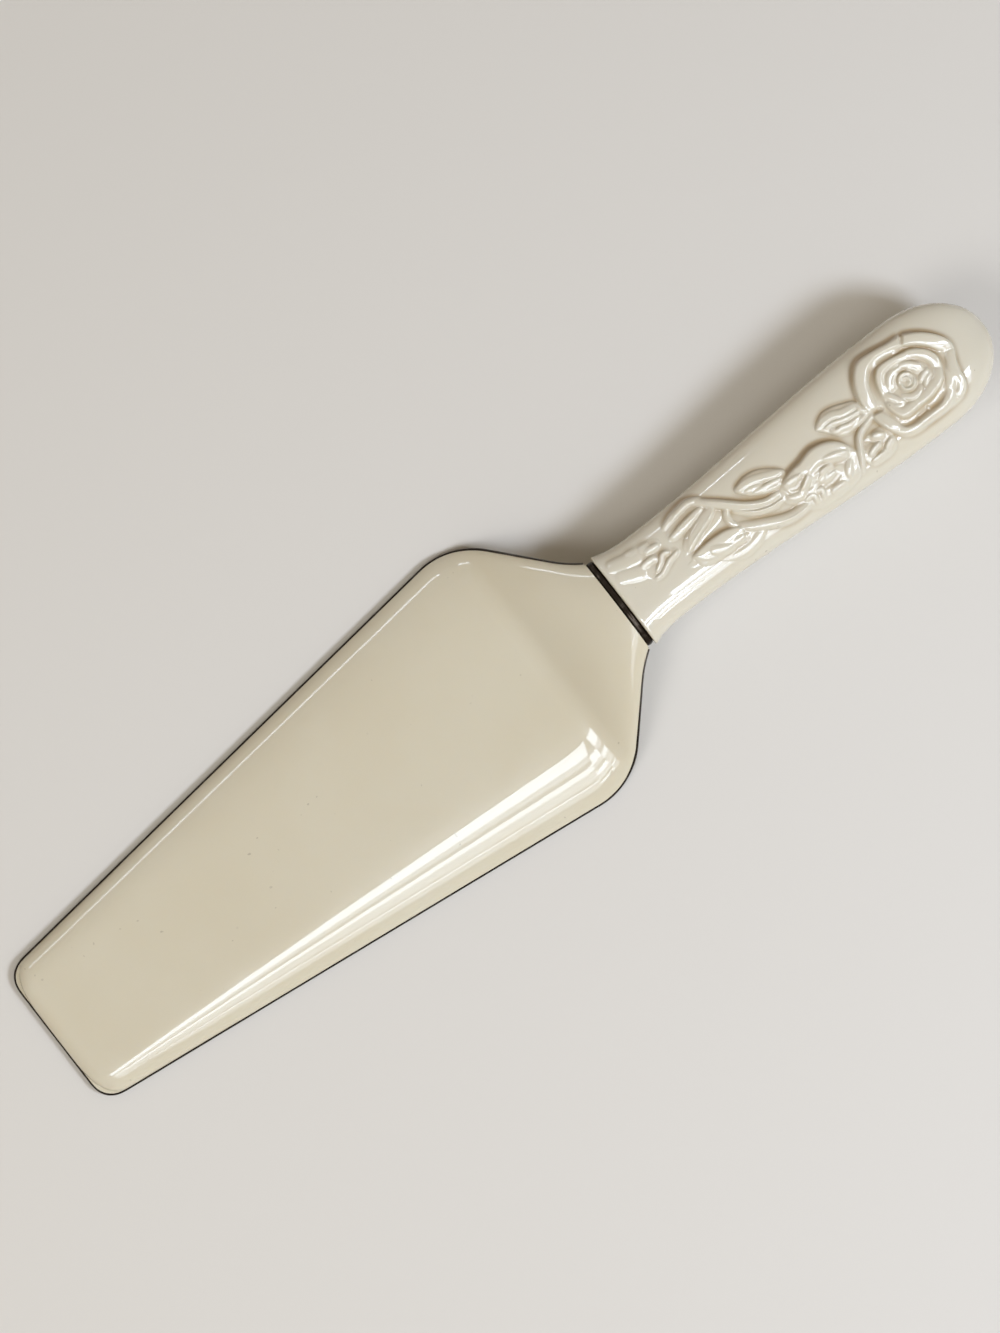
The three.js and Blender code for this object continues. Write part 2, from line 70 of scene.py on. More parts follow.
# Blade and neck
NECK_HALF = 12.45
NECK_THICKNESS = 10.8
LINE_INSET = 0.45
BLADE_SIZES = {
    "Neck end": NECK_END,
    "Neck half width": NECK_HALF,
    "Neck thickness": NECK_THICKNESS,
    "Neck edge thickness": 3,
    "Neck end angle": radians(34.8),
    "Flare radius": 31,
    "Shoulder half width": SHOULDER_HALF,
    "Shoulder radius": 17.5,
    "Shoulder angle": radians(49),
    "Blade length": 139.6,
    "Blade thickness": 5.3,
    "Edge thickness": 1.3,
    "Edge lift": 0.4,
    "Tip half width": 18.9,
    "Tip thickness": 4.2,
    "Corner": 6.5,
    "Corner power": 2.7,  # shape of the tip's corners in plan, where 2 is an ellipse
    "Inset": LINE_INSET,
    "Bend length": 5.5,
    "Handle height": BAND_HEIGHT,
}
END_SLOPE_SHARE = 0.6
TIP_ROLL = 6.5
SHOULDER_ROLL = 28
DOME_POWER = 3
NECK_DOME_POWER = 2
LIP_POWER = 14
LIP_SHARE = 0.3  # how much of the fall to the edge is in the tight roll beside it
UNDER_ROLL = 2.2
NECK_ROUNDNESS = 0.55
LINE_DEPTH = 0.8
LINE_LAP = 0.07

# Band, tang and handle
BAND_DEPTH = 0.4
BAND_THICKNESS = 0.8
BAND_BULGE = 0.04
GROOVE_DEPTH = 0.9  # from the band's outer face down to the groove's floor
JOINT_GAP = 0.2  # between the groove's end and the handle's front face
SEAT_POWER = 2.3  # roundness of the groove's, the band's and the tang's section, where 2 is an ellipse
TANG_LENGTH = 30
TANG_HALF_WIDTH = 5.2
TANG_HALF_THICKNESS = 2.2
TANG_TAPER = 0.85
FRONT_HALF = 12.5
WAIST_HALF = 10.9
WAIST_PLACE = 11.8
FULL_PLACE = 78.8
END_ROUND = 18.7
FRONT_HALF_THICKNESS = 5.7
WAIST_HALF_THICKNESS = 5.4
FULL_HALF_THICKNESS = 6.7
HANDLE_RISE = 4
HANDLE_POWER = 3.2
FRONT_FLARE_POWER = 3
FRONT_ROUND = 0.7
WALL = 2.6
CEMENT_START = 0.4  # how far the cement stays back from the handle's front face
CEMENT_GAP = 0.05

# Fineness of the meshes
BLADE_ROWS = 290
BLADE_TOP_COLUMNS = 140
BLADE_UNDER_COLUMNS = 60
LINE_SIDE_ROWS = 330
LINE_TIP_ROWS = 24
LINE_TURNS = 14
BAND_ROWS = 160
BAND_TURNS = 12
LIP_ROWS = 6
BODY_ROWS = 306
CAP_ROWS = 92
TOP_COLUMNS = 180
UNDER_COLUMNS = 44
HOLLOW_CAP_ROWS = 12
HOLLOW_ROWS = 24
CEMENT_ROWS = 14
CEMENT_TURNS = 72
SEAM = 0.002  # points nearer than this are one
SHARP_ANGLE = radians(38)


def joined(operation, swapped=False):
    """An operator of Value, which adds the tree's Math node for it."""
    def join(value, other):
        terms = (other, value) if swapped else (value, other)
        return value.graph.maths(operation, *terms)
    return join


class Value:
    """One number or vector of a node tree."""

    def __init__(self, graph, socket):
        self.graph = graph
        self.socket = socket

    def __neg__(self):
        return self * -1

    __add__ = __radd__ = joined("ADD")
    __sub__ = joined("SUBTRACT")
    __rsub__ = joined("SUBTRACT", swapped=True)
    __mul__ = __rmul__ = joined("MULTIPLY")
    __truediv__ = joined("DIVIDE")
    __rtruediv__ = joined("DIVIDE", swapped=True)
    __pow__ = joined("POWER")
    __lt__ = joined("LESS_THAN")
    __gt__ = joined("GREATER_THAN")


class Graph:
    def __init__(self, tree):
        self.tree = tree

    def node(self, kind, settings=None, inputs=None):
        """Adds a node: its settings first, then the values or links of its sockets."""
        node = self.tree.nodes.new(kind)
        for name, value in (settings or {}).items():
            setattr(node, name, value)
        for name, value in (inputs or {}).items():
            if isinstance(value, Value):
                self.tree.links.new(value.socket, node.inputs[name])
            else:
                node.inputs[name].default_value = value
        return node

    def get(self, kind, output=0, settings=None, inputs=None):
        return Value(self, self.node(kind, settings, inputs).outputs[output])

    def maths(self, operation, *terms):
        return self.get("ShaderNodeMath", settings={"operation": operation}, inputs=dict(enumerate(terms)))


def maths(operation, *terms):
    graph = next(term.graph for term in terms if isinstance(term, Value))
    return graph.maths(operation, *terms)


def least(a, b):
    return maths("MINIMUM", a, b)


def most(a, b):
    return maths("MAXIMUM", a, b)


def sine(angle):
    return maths("SINE", angle)


def cosine(angle):
    return maths("COSINE", angle)


def tangent(angle):
    return maths("TANGENT", angle)


def size_of(x):
    return maths("ABSOLUTE", x)


def arcsine(x):
    return maths("ARCSINE", least(most(x, -1), 1))


def held(x):
    return least(most(x, 0), 1)


def mix(a, b, share):
    return a + (b - a) * share


def ease(x, start, end):
    share = held((x - start) / (end - start))
    return share * share * (3 - 2 * share)


def choose(test, yes, no):
    return no + (yes - no) * test


class Shape(Graph):
    """A new Geometry Nodes tree with named number inputs."""

    def __init__(self, name, sizes):
        super().__init__(bpy.data.node_groups.new(name, "GeometryNodeTree"))
        self.sizes = sizes
        for size in sizes:
            self.tree.interface.new_socket(name=size, in_out="INPUT", socket_type="NodeSocketFloat")
        self.tree.interface.new_socket(name="Geometry", in_out="OUTPUT", socket_type="NodeSocketGeometry")
        self.inputs = self.tree.nodes.new("NodeGroupInput")

    def __getitem__(self, size):
        return Value(self, self.inputs.outputs[size])

    def grid(self, rows, columns):
        """A flat net, with the row and column number of each point."""
        mesh = self.get("GeometryNodeMeshGrid", inputs={
            "Size X": rows - 1, "Size Y": columns - 1, "Vertices X": rows, "Vertices Y": columns})
        place = self.node("ShaderNodeSeparateXYZ", inputs={0: self.get("GeometryNodeInputPosition")})
        row = Value(self, place.outputs[0]) + (rows - 1) / 2
        column = Value(self, place.outputs[1]) + (columns - 1) / 2
        return mesh, self.maths("ROUND", row), self.maths("ROUND", column)

    def finish(self, mesh, x, y, z, material):
        """Moves the net's points to x, y, z in millimetres, closes its seams and gives it its material."""
        place = self.get("ShaderNodeCombineXYZ", inputs={0: x * MM, 1: y * MM, 2: z * MM})
        moved = self.get("GeometryNodeSetPosition", inputs={"Geometry": mesh, "Position": place})
        merged = self.get("GeometryNodeMergeByDistance", inputs={"Geometry": moved, "Distance": SEAM * MM})
        real = self.get("GeometryNodeRealizeInstances", inputs={"Geometry": merged})
        painted = self.get("GeometryNodeSetMaterial", inputs={"Geometry": real, "Material": material})
        end = self.tree.nodes.new("NodeGroupOutput")
        self.tree.links.new(painted.socket, end.inputs[0])


def collect(obj):
    bpy.context.scene.collection.objects.link(obj)
    return obj


def grown(name, shape):
    """The plain mesh piece that a Geometry Nodes tree makes with its own sizes."""
    obj = collect(bpy.data.objects.new(name, bpy.data.meshes.new(name)))
    modifier = obj.modifiers.new("Shape", "NODES")
    modifier.node_group = shape.tree
    for item in shape.tree.interface.items_tree:
        if item.in_out == "INPUT":
            modifier[item.identifier] = float(shape.sizes[item.name])
    mesh = bpy.data.meshes.new_from_object(obj.evaluated_get(bpy.context.evaluated_depsgraph_get()))
    obj.modifiers.clear()
    obj.data = mesh
    mesh.name = name
    point_outwards(mesh)
    mesh.shade_smooth()
    mesh.set_sharp_from_angle(angle=SHARP_ANGLE)
    return obj


def point_outwards(mesh):
    copy = bmesh.new()
    copy.from_mesh(mesh)
    if copy.calc_volume(signed=True) < 0:
        mesh.flip_normals()
    copy.free()


def dress(piece, node):
    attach(piece, "root")
    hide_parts(node)


# Finishes

def finish(name, fixed=None):
    """A material, its graph and its shader, with the values that are the same all over it."""
    material = bpy.data.materials.new(name)
    material.use_nodes = True
    shader = material.node_tree.nodes["Principled BSDF"]
    for socket, value in (fixed or {}).items():
        shader.inputs[socket].default_value = value
    return material, Graph(material.node_tree), shader


def feed(graph, shader, **values):
    """Links values that change over the surface to the sockets of those names."""
    for name, value in values.items():
        graph.tree.links.new(value.socket, shader.inputs[name.replace("_", " ").title()])


def spots(graph, size, detail=2.0, seed=0.0):
    """Noise with patches of about that size in millimetres, on the piece's own coordinates."""
    place = graph.get("ShaderNodeTexCoord", "Object")
    moved = graph.get("ShaderNodeMapping", inputs={"Vector": place, "Location": (seed, seed, seed)})
    return graph.get("ShaderNodeTexNoise", inputs={
        "Vector": moved, "Scale": 1 / (size * MM), "Detail": detail, "Roughness": 0.5})


def blended(graph, share, a, b):
    return graph.get("ShaderNodeMix", 2, {"data_type": "RGBA"}, {0: share, 6: a, 7: b})


def bumps(graph, height, distance, strength=1.0):
    """A surface raised by that height's 0 to 1 times the distance in millimetres."""
    return graph.get("ShaderNodeBump", inputs={
        "Height": height, "Strength": strength, "Distance": distance * MM})


IVORY = (0.645, 0.60, 0.475, 1)
IVORY_WARM = (0.63, 0.578, 0.445, 1)
# The grip's ivory is a lighter, cooler copy of the blade's: painted light, where the handle catches more
# light than the blade
GRIP_IVORY_PAINTED_LIGHTER = (0.665, 0.632, 0.532, 1)
GRIP_IVORY_WARM_PAINTED_LIGHTER = (0.655, 0.613, 0.503, 1)
# Tan of glaze pooled in the relief's hollows, which also serves as painted shade in those hollows and on
# the sprigs' +Y slopes, away from the key light
POOL_AND_SHADE_TAN = (0.39, 0.28, 0.14, 1)
SPECK = (0.33, 0.28, 0.21, 1)
# Near-black colours of the fired metal film: a painted dark reflection, a little lighter where worn
FILM_PAINTED_DARK_REFLECTION = (0.026, 0.019, 0.014, 1)
FILM_WORN_PAINTED_DARK_REFLECTION = (0.045, 0.036, 0.028, 1)
CEMENT_DARK = (0.44, 0.41, 0.35, 1)
CEMENT_PALE = (0.62, 0.59, 0.52, 1)

# Glaze over porcelain: clouds in the body, specks in patches, and waves in the glaze
CLOUD_SIZE = 34
CLOUD_RANGE = (0.35, 0.68)
SPECK_SIZE = 0.9
SPECK_RANGE = (0.81, 0.85)
SPECK_PATCH_SIZE = 7
SPECK_PATCH_RANGE = (0.54, 0.64)
SPECK_DEPTH = 0.5
GLAZE = {
    "IOR": 1.5, "Specular IOR Level": 0.25, "Coat Weight": 1.0, "Coat Roughness": 0.015,
    "Subsurface Weight": 0.12, "Subsurface Radius": (1.0, 0.75, 0.5), "Subsurface Scale": 0.8 * MM,
}
BLADE_COAT_IOR = 1.5
GRIP_COAT_IOR = 1.75
BODY_ROUGHNESS = 0.17
BODY_ROUGHNESS_SPREAD = 0.06
BODY_ROUGHNESS_SIZE = 5
WAVE_SIZE = 16
RIPPLE_SIZE = 6
RIPPLE_SHARE = 1.8  # height of the ripple against the wave's
WAVE_HEIGHT = 0.05

# Fired film and cement
FILM_ROUGHNESS = 0.14
FILM_ROUGHNESS_SPREAD = 0.16
WEAR_SIZE = 1.6
WEAR_RANGE = (0.42, 0.72)
GRAIN_SIZE = 0.8
GRAIN_HEIGHT = 0.1
GRAIN_STRENGTH = 0.6
CEMENT_ROUGHNESS = 0.9


def make_porcelain(name, relief=False):
    """Ivory body under a clear gloss glaze: faint clouds, rare pin specks, and slow waves in the gloss."""
    coat = GRIP_COAT_IOR if relief else BLADE_COAT_IOR
    material, graph, shader = finish(name, {**GLAZE, "Coat IOR": coat})
    # The grip takes the lighter copy of the ivory, which is painted light
    pale, warm = (GRIP_IVORY_PAINTED_LIGHTER, GRIP_IVORY_WARM_PAINTED_LIGHTER) if relief else (IVORY, IVORY_WARM)
    colour = blended(graph, ease(spots(graph, CLOUD_SIZE, detail=3), *CLOUD_RANGE), pale, warm)
    specks = ease(spots(graph, SPECK_SIZE, detail=0, seed=3.1), *SPECK_RANGE)
    specks = specks * ease(spots(graph, SPECK_PATCH_SIZE, seed=1.7), *SPECK_PATCH_RANGE)
    colour = blended(graph, specks * SPECK_DEPTH, colour, SPECK)
    if relief:
        # Tan of pooled glaze, with painted shade in hollows and on slopes away from the key light
        pool_and_shade = graph.get("ShaderNodeAttribute", "Fac", {"attribute_name": "pool_and_shade"})
        colour = blended(graph, pool_and_shade, colour, POOL_AND_SHADE_TAN)
    ripple = RIPPLE_SHARE * spots(graph, RIPPLE_SIZE, detail=1, seed=8.4)
    waves = spots(graph, WAVE_SIZE, detail=1, seed=2.2) + ripple
    uneven = spots(graph, BODY_ROUGHNESS_SIZE, seed=5.3)
    roughness = BODY_ROUGHNESS + BODY_ROUGHNESS_SPREAD * uneven
    feed(graph, shader, base_color=colour, roughness=roughness, normal=bumps(graph, waves, WAVE_HEIGHT))
    return material


def make_platinum():
    """Fired metal film, coloured near black as a painted dark reflection of dark surroundings, and a
    little duller where it is thin.
    """
    material, graph, shader = finish("fired_platinum", {"Metallic": 1.0})
    wear = ease(spots(graph, WEAR_SIZE, detail=3, seed=4.4), *WEAR_RANGE)
    roughness = FILM_ROUGHNESS + FILM_ROUGHNESS_SPREAD * wear
    feed(graph, shader, base_color=blended(graph, wear, FILM_PAINTED_DARK_REFLECTION, FILM_WORN_PAINTED_DARK_REFLECTION), roughness=roughness)
    return material


def make_cement():
    material, graph, shader = finish("bedding_cement", {"Roughness": CEMENT_ROUGHNESS})
    grain = spots(graph, GRAIN_SIZE, detail=4)
    colour = blended(graph, grain, CEMENT_DARK, CEMENT_PALE)
    feed(graph, shader, base_color=colour, normal=bumps(graph, grain, GRAIN_HEIGHT, GRAIN_STRENGTH))
    return material


# Blade and neck

TIP_SHARE = 0.08  # share of the rows that round the tip


class BladeShape(Shape):
    """The rule of the blade's plan and heights, for its porcelain and for the line on its edge."""

    def __init__(self, name):
        super().__init__(name, BLADE_SIZES)
        angle, end_angle = self["Shoulder angle"], self["Neck end angle"]
        radius, flare = self["Shoulder radius"], self["Flare radius"]
        wide = self["Shoulder half width"]
        self.slope_end = self["Neck end"] - flare * (sine(angle) - sine(end_angle))
        self.slope_half = wide - radius * (1 - cosine(angle))
        hollow = flare * (cosine(end_angle) - cosine(angle))
        self.slope_run = tangent(angle)
        drop = self.slope_half - self["Neck half width"] - hollow
        self.slope_start = self.slope_end - drop / self.slope_run
        self.widest = self.slope_start - radius * sine(angle)
        rise = wide - radius - self["Tip half width"]
        reach = (rise * rise + self.widest * self.widest) ** 0.5
        self.taper = self.maths("ARCTAN2", rise, self.widest) + arcsine(radius / reach)
        self.shoulder_start = self.widest - radius * sine(self.taper)

    def side(self, place):
        """Half width out to the metal line, and the side's lean, at a distance from the tip."""
        radius, end_angle = self["Flare radius"], self["Neck end angle"]
        on_shoulder = arcsine((self.widest - place) / self["Shoulder radius"])
        on_flare = -arcsine(sine(end_angle) + (self["Neck end"] - place) / radius)
        shoulder = self["Shoulder half width"] - self["Shoulder radius"] * (1 - cosine(on_shoulder))
        flare = self["Neck half width"] + radius * (cosine(end_angle) - cosine(on_flare))
        straight = self["Tip half width"] + place * tangent(self.taper)
        slope = self.slope_half - (place - self.slope_start) * self.slope_run

        def stretch(on_side, on_round, on_slope, on_neck):
            past_shoulder = choose(place < self.slope_end, on_slope, on_neck)
            past_side = choose(place < self.slope_start, on_round, past_shoulder)
            return choose(place < self.shoulder_start, on_side, past_side)

        half = stretch(straight, shoulder, slope, flare)
        return half, stretch(self.taper, on_shoulder, -self["Shoulder angle"], on_flare)

    def climb(self, place, rise):
        """Height gained past the bend by a line that climbs by rise to the neck's end."""
        neck, bend = self["Neck end"] - self["Blade length"], self["Bend length"]
        run = most(place - self["Blade length"], 0)
        end_slope = END_SLOPE_SHARE * rise / neck
        steepest = (2 * rise - end_slope * (neck - bend)) / neck
        past = run - bend
        easing = (end_slope - steepest) * past * past / (2 * (neck - bend))
        after = steepest * bend / 2 + steepest * past + easing
        return choose(run < bend, steepest * run * run / (2 * bend), after)

    def neck_share(self, place):
        return ease(place, self["Blade length"], self["Neck end"])

    def edge(self, place):
        """Middle height and half thickness of the edge."""
        middle = self["Edge lift"] + self["Edge thickness"] / 2
        thickness = mix(self["Edge thickness"], self["Neck edge thickness"], self.neck_share(place))
        return middle + self.climb(place, self["Handle height"] - middle), thickness / 2

    def corner_reach(self, place, inset):
        """How near the tip's rounding is, 1 at the tip's edge, and how far the corner has swung out."""
        near = held(1 - (place - inset) / self["Corner"])
        power = self["Corner power"]
        return near, most(1 - near ** power, 0) ** (1 / power)

    def place_at(self, share, inset):
        """Distance from the tip of a row, with rows close together where they round the tip."""
        rounding = self["Corner"] * (1 - cosine(least(share / TIP_SHARE, 1) * (pi / 2)))
        straight = self["Neck end"] - inset - self["Corner"]
        return inset + rounding + straight * most(share - TIP_SHARE, 0) / (1 - TIP_SHARE)


def by_row(row, values):
    """The value for row 0, 1, 2 and so on."""
    result = values[-1]
    for number in range(len(values) - 2, -1, -1):
        result = choose(row < number + 0.5, values[number], result)
    return result


def blade_height(shape, place, size, outer, near, on_top):
    """Heights of the edge and of the blade's skin. Size is the share of the outer half width from the
    middle line, and near is how near the tip's rounding is."""
    corner = shape["Corner power"]
    neck = shape.neck_share(place)
    edge_height, edge_half = shape.edge(place)
    roll = mix(TIP_ROLL, SHOULDER_ROLL, held(place / shape.widest))
    roll = least(mix(roll, outer, ease(place, shape.widest, shape["Neck end"])), outer)
    under_roll = least(mix(UNDER_ROLL, outer, neck), outer)
    used_roll = choose(on_top, roll, under_roll)
    fall = held((size * outer - (outer - used_roll)) / used_roll)

    def with_tip(tip_fall):
        return held((fall ** corner + tip_fall ** corner) ** (1 / corner))

    thick = mix(shape["Tip thickness"], shape["Blade thickness"], held(place / shape["Blade length"]))
    half_neck = shape["Neck thickness"] / 2
    middle_top = thick + shape.climb(place, shape["Handle height"] + half_neck - shape["Blade thickness"])
    middle_under = shape.climb(place, shape["Handle height"] - half_neck)
    fall_top = with_tip(near)
    fall_under = with_tip(held(1 - (place - shape["Inset"]) / UNDER_ROLL))
    lip = LIP_SHARE * (1 - neck)
    drop = (1 - lip) * fall_top ** mix(DOME_POWER, NECK_DOME_POWER, neck) + lip * fall_top ** LIP_POWER
    roundness = mix(1, NECK_ROUNDNESS, neck)
    top_edge, under_edge = edge_height + edge_half, edge_height - edge_half
    z_top = top_edge + (middle_top - top_edge) * most(1 - drop, 0) ** roundness
    under_dome = most(1 - fall_under * fall_under, 0) ** roundness
    z_under = under_edge + (middle_under - under_edge) * under_dome
    return edge_height, choose(on_top, z_top, z_under)


def make_blade(porcelain):
    """Porcelain blade, neck and tang in one closed skin, in rows from the tip to the tang's end."""
    # Past the neck: the groove under the band, then the tang, as ovals
    groove_half = NECK_HALF - LINE_INSET - BAND_DEPTH - GROOVE_DEPTH
    groove_thick = NECK_THICKNESS / 2 - BAND_DEPTH - GROOVE_DEPTH
    groove_end = HANDLE_X - TIP_X - JOINT_GAP
    tang_end = HANDLE_X - TIP_X + TANG_LENGTH
    tang_rise = HANDLE_RISE * TANG_LENGTH / HANDLE_LENGTH
    widths = [groove_half, groove_half, TANG_HALF_WIDTH, TANG_HALF_WIDTH * TANG_TAPER, 0]
    thicks = [groove_thick, groove_thick, TANG_HALF_THICKNESS, TANG_HALF_THICKNESS * TANG_TAPER, 0]
    places = [NECK_END, groove_end, groove_end, tang_end, tang_end]
    lifts = [0, 0, 0, tang_rise, tang_rise]

    shape = BladeShape("blade_rule")
    rows, top, under = BLADE_ROWS, BLADE_TOP_COLUMNS, BLADE_UNDER_COLUMNS
    mesh, row, column = shape.grid(1 + rows + len(places), top + under + 3)
    inset = shape["Inset"]
    place = shape.place_at(held((row - 1) / (rows - 1)), inset)
    half, lean = shape.side(place)
    near, reach = shape.corner_reach(place, inset)
    outer = half - inset / cosine(lean) - shape["Corner"] * (1 - reach)

    # Across runs from 1 to -1 on top and back underneath, and a last column closes the seam
    across_top = 1 - 2 * column / top
    across_under = 2 * held((column - top - 1) / under) - 1
    is_top = column < top + 0.5
    closing = column > top + under + 1.5
    across = choose(is_top, across_top, choose(closing, 1, across_under))
    size = size_of(across)
    on_top = most(is_top, closing)
    edge_height, skin = blade_height(shape, place, size, outer, near, on_top)
    past = row - rows
    number = past - 1
    on_tang = past > 0.5
    rim = most(1 - size ** SEAT_POWER, 0) ** (1 / SEAT_POWER) * by_row(number, thicks)
    oval = shape["Handle height"] + by_row(number, lifts) + choose(on_top, rim, -rim)

    # The first row is one point, which closes the skin in the middle of the tip's narrow face
    x = TIP_X + choose(on_tang, by_row(number, places), place)
    y = across * choose(on_tang, by_row(number, widths), outer * (row > 0.5))
    z = choose(on_tang, oval, choose(row < 0.5, edge_height, skin))
    shape.finish(mesh, x, y, z, porcelain)
    dress(grown("blade_body", shape), "blade")


def make_edge_line(platinum):
    """Metal line: a thin film with a round outer face, along the edge from neck to neck round the tip."""
    shape = BladeShape("edge_line_rule")
    rows = 2 * LINE_SIDE_ROWS + LINE_TIP_ROWS
    mesh, row, column = shape.grid(rows, LINE_TURNS + 1)
    last = (rows - 1) / 2
    side = choose(row - last > 0, 1, -1)
    from_middle = size_of(row - last)
    corner_row = (LINE_TIP_ROWS + 1) / 2
    on_side = from_middle > corner_row - 0.5
    place = shape.place_at(held((from_middle - corner_row) / (LINE_SIDE_ROWS - 2)), 0)
    half, lean = shape.side(place)
    near, reach = shape.corner_reach(place, 0)
    on_tip = (half - shape["Corner"]) * from_middle / corner_row
    y = choose(on_side, half - shape["Corner"] * (1 - reach), on_tip)

    # Outward direction, square to the corner's curve and then to the side
    power = shape["Corner power"] - 1
    out_y = reach ** power
    out_x = -(near ** power + out_y * tangent(lean))
    length = (out_x * out_x + out_y * out_y) ** 0.5
    height, half_height = shape.edge(place)
    angle = column * (2 * pi / LINE_TURNS)
    inner_row = from_middle < last - 0.5  # 0 on the last rows, which close the line's two ends
    depth = LINE_DEPTH * (cosine(angle) * inner_row - 1) / 2
    lift = sine(angle) * (half_height + LINE_LAP) * inner_row
    x = TIP_X + place + out_x / length * depth
    shape.finish(mesh, x, side * (y + out_y / length * depth), height + lift, platinum)
    dress(grown("edge_line", shape), "edge_trim")


def make_neck_band(platinum):
    """Metal band in the groove between neck and handle: an oval path with a low round section."""
    sizes = {
        "From": NECK_END, "To": HANDLE_X - TIP_X, "Height": BAND_HEIGHT,
        "Half width": NECK_HALF - LINE_INSET - BAND_DEPTH,
        "Half thickness": NECK_THICKNESS / 2 - BAND_DEPTH,
        "Thickness": BAND_THICKNESS, "Bulge": BAND_BULGE,
    }
    shape = Shape("neck_band_rule", sizes)
    mesh, row, column = shape.grid(BAND_ROWS + 1, BAND_TURNS + 1)
    angle = row * (2 * pi / BAND_ROWS)
    section = column * (2 * pi / BAND_TURNS)

    def oval(x):
        return shape.maths("SIGN", x) * size_of(x) ** (2 / SEAT_POWER)

    out = (cosine(section) - 1) * shape["Thickness"] / 2 + shape["Bulge"] * most(cosine(section), 0)
    along = (shape["From"] + shape["To"]) / 2 + sine(section) * (shape["To"] - shape["From"]) / 2
    y = oval(cosine(angle)) * (shape["Half width"] + out)
    z = shape["Height"] + oval(sine(angle)) * (shape["Half thickness"] + out)
    shape.finish(mesh, TIP_X + along, y, z, platinum)
    dress(grown("band_at_neck", shape), "neck_band")


# Handle

def smooth(x, start, end):
    share = np.clip((x - start) / (end - start), 0, 1)
    return share * share * (3 - 2 * share)


def handle_half(u, front, waist, full):
    growth = waist + (full - waist) * smooth(u, WAIST_PLACE, FULL_PLACE)
    flare = (front - waist) * np.clip(1 - u / WAIST_PLACE, 0, 1) ** FRONT_FLARE_POWER
    into_end = np.clip((u - HANDLE_LENGTH + END_ROUND) / END_ROUND, 0, 1)
    return (growth + flare) * np.sqrt(1 - into_end ** 2)


def handle_width(u):
    return handle_half(u, FRONT_HALF, WAIST_HALF, FULL_HALF)


def handle_thickness(u):
    return handle_half(u, FRONT_HALF_THICKNESS, WAIST_HALF_THICKNESS, FULL_HALF_THICKNESS)


def handle_middle(u):
    return BAND_HEIGHT + HANDLE_RISE * u / HANDLE_LENGTH


def handle_skin():
    """Points on the handle's outside by row and column round it, and the share of its half width and
    half thickness at each column."""
    cap_start = HANDLE_LENGTH - END_ROUND
    lip = np.linspace(0, pi / 2, LIP_ROWS)[:-1]
    body = np.linspace(FRONT_ROUND, cap_start, BODY_ROWS)
    cap = cap_start + END_ROUND * np.sin(np.linspace(0, pi / 2, CAP_ROWS)[1:-1])
    u = np.concatenate([FRONT_ROUND * (1 - np.cos(lip)), body, cap])
    inset = np.concatenate([FRONT_ROUND * (1 - np.sin(lip)), np.zeros(len(body) + len(cap))])
    across = np.sin(pi / 2 * np.linspace(1, -1, TOP_COLUMNS + 1))
    under = np.sin(pi / 2 * np.linspace(-1, 1, UNDER_COLUMNS + 1))[1:-1]
    side = np.concatenate([across, under])
    up = np.concatenate([np.ones(len(across)), -np.ones(len(under))])
    rim = up * np.clip(1 - np.abs(side) ** HANDLE_POWER, 0, 1) ** (1 / HANDLE_POWER)
    width = (handle_width(u) - inset)[:, None]
    thickness = (handle_thickness(u) - inset)[:, None]
    x = np.repeat(HANDLE_X + u[:, None], len(side), axis=1)
    points = np.stack([x, width * side, handle_middle(u)[:, None] + thickness * rim], axis=-1)
    return points, side, rim


def loop(place, width, thickness, side, rim):
    """One ring of points round the handle's middle line."""
    x = np.full(len(side), HANDLE_X + place)
    return np.stack([x, width * side, handle_middle(place) + thickness * rim], axis=-1)


def outward(points):
    """Normals of a net of points that closes round its columns."""
    round_it = np.roll(points, -1, axis=1) - np.roll(points, 1, axis=1)
    along = np.gradient(points, axis=0)
    normal = np.cross(round_it, along)
    normal /= np.linalg.norm(normal, axis=-1, keepdims=True) + 1e-12
    middle = points.mean(axis=1, keepdims=True)
    flip = np.sign((normal * (points - middle)).sum(axis=-1).mean())
    return normal * flip


def solid(name, vertices, faces, material, normals=None, pool_and_shade=None):
    """A closed mesh from arrays in millimetres."""
    mesh = bpy.data.meshes.new(name)
    mesh.from_pydata(np.asarray(vertices) * MM, [], faces)
    if pool_and_shade is not None:
        mesh.attributes.new("pool_and_shade", "FLOAT", "POINT").data.foreach_set("value", pool_and_shade)
    mesh.materials.append(material)
    point_outwards(mesh)
    mesh.shade_smooth()
    if normals is None:
        mesh.set_sharp_from_angle(angle=SHARP_ANGLE)
    else:
        mesh.normals_split_custom_set_from_vertices(normals)
    return collect(bpy.data.objects.new(name, mesh))


def rings_to_faces(rows, columns, ring=False):
    """Faces between the rows of a net that closes round its columns, in a ring also from last to first."""
    faces = []
    for row in range(rows if ring else rows - 1):
        a, b = row * columns, (row + 1) % rows * columns
        for column in range(columns):
            beside = (column + 1) % columns
            faces.append((a + column, a + beside, b + beside, b + column))
    return faces


def handle_hollow(side, rim):
    """Rows of points round the handle's hollow, from its far end back to the open front, and the place
    of that far end."""
    cap_start = HANDLE_LENGTH - END_ROUND - WALL
    width, thickness = handle_width(cap_start) - WALL, handle_thickness(cap_start) - WALL
    rows = []
    for angle in np.linspace(pi / 2, 0, HOLLOW_CAP_ROWS)[1:]:
        place = cap_start + END_ROUND * sin(angle)
        rows.append(loop(place, width * cos(angle), thickness * cos(angle), side, rim))
    for place in np.linspace(cap_start, 0, HOLLOW_ROWS)[1:]:
        rows.append(loop(place, handle_width(place) - WALL, handle_thickness(place) - WALL, side, rim))
    return np.array(rows), cap_start + END_ROUND


